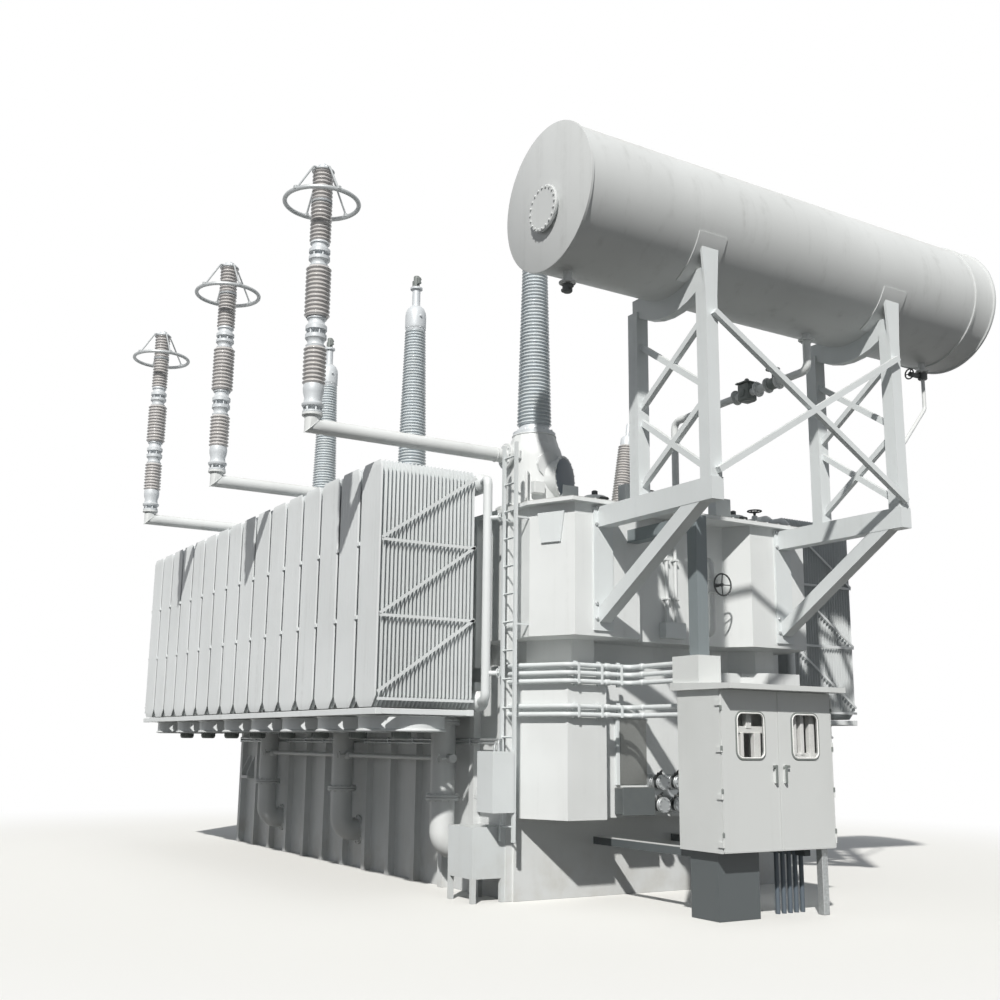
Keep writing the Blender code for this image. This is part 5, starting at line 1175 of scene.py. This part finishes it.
# Finishes of the solids, by a word in the name. What has none of the words is tank paint.
PAINTED = {
    "cover": COVER_PAINT, "radiators": BANK_PAINT, "fans": BANK_PAINT, "trestle": FRAME_PAINT,
    "bracket": FRAME_PAINT, "brace": FRAME_PAINT, "box": FRAME_PAINT, "ladder": FRAME_PAINT,
    "roof": CABINET_PAINT, "door": CABINET_PAINT, "wireway": WIREWAY_PAINT, "cabinet_body": BODY_PAINT,
    "hv_bushing": PORCELAIN, "surge": BROWN_PORCELAIN, "lv_bushing": BROWN_PORCELAIN, "window": PANE,
    "panel": DUCT, "blank": STEEL,
}
for name, node in NODES.items():
    for holder in node.material_slots:
        holder.material = next((paint for word, paint in PAINTED.items() if word in name), TANK_PAINT)


def placed(name, data):
    thing = bpy.data.objects.new(name, data)
    SCENE.collection.objects.link(thing)
    return thing


# Camera
yaw, pitch, roll = math.radians(31.19), math.radians(11.78), math.radians(0.63)
ahead = Vector((-math.cos(yaw) * math.cos(pitch), math.sin(yaw) * math.cos(pitch), math.sin(pitch)))
right = Vector((math.sin(yaw), math.cos(yaw), 0))
over = right.cross(ahead)
right, over = (math.cos(roll) * right + math.sin(roll) * over, math.cos(roll) * over - math.sin(roll) * right)
lens = bpy.data.cameras.new("camera")
lens.lens = 42.04
lens.sensor_width = 36
lens.clip_end = 400
camera = placed("camera", lens)
camera.matrix_world = (
    Matrix.Translation((15.143, -8.725, 1.62)) @ Matrix((right, over, -ahead)).transposed().to_4x4()
)
SCENE.camera = camera

# Floor, world and lamp. The floor fades to white far out, and the white shows only to the
# rays that Nodes.seen names.
floor_mesh = bpy.data.meshes.new("floor")
floor_mesh.from_pydata([(x, y, -0.002) for x, y in circle(90.0, 64).tolist()], [], [list(range(64))])
floor = placed("floor", floor_mesh)
ground = Finish("pale_floor")
length = ground.node("ShaderNodeVectorMath", {"operation": "LENGTH"}, {0: ground.place})
far = Term(ground, length.outputs["Value"])
white = ground.node("ShaderNodeEmission", {}, {"Color": (1, 1, 1, 1), "Strength": 1.0})
seen = ground.seen()
fade = ground.node("ShaderNodeMixShader", {}, {0: far.between(7.5, 15.0) * seen, 1: ground.shader.outputs[0],
                                               2: white.outputs[0]})
ground.out(Base_Color=ground.blend(seen, tone(72, 71, 68), tone(236, 236, 233)), Roughness=0.9)
ground.put(ground.tree.nodes["Material Output"].inputs["Surface"], fade.outputs[0])
floor_mesh.materials.append(ground.material)

world = bpy.data.worlds.new("studio")
SCENE.world = world
air = Nodes(world)
soft = air.tree.nodes["Background"]
air.put(soft.inputs["Color"], (0.86, 0.92, 1.0, 1))
air.put(soft.inputs["Strength"], 0.25)
clear = air.node("ShaderNodeBackground", {}, {"Color": (1, 1, 1, 1)})
pick = air.node("ShaderNodeMixShader", {}, {0: air.seen(), 1: soft.outputs[0], 2: clear.outputs[0]})
air.put(air.tree.nodes["World Output"].inputs["Surface"], pick.outputs[0])

# A far lamp whose light comes from an azimuth and an elevation.
azimuth, elevation = math.radians(-42), math.radians(40)
source = Vector((math.cos(azimuth) * math.cos(elevation), math.sin(azimuth) * math.cos(elevation),
                 math.sin(elevation)))
light = bpy.data.lights.new("key_lamp", "SUN")
light.energy = 4.0
light.angle = math.radians(1.5)
light.color = (1.0, 0.975, 0.94)
placed("key_lamp", light).matrix_world = source.to_track_quat("Z", "Y").to_matrix().to_4x4()

SCENE.view_settings.view_transform = "Standard"
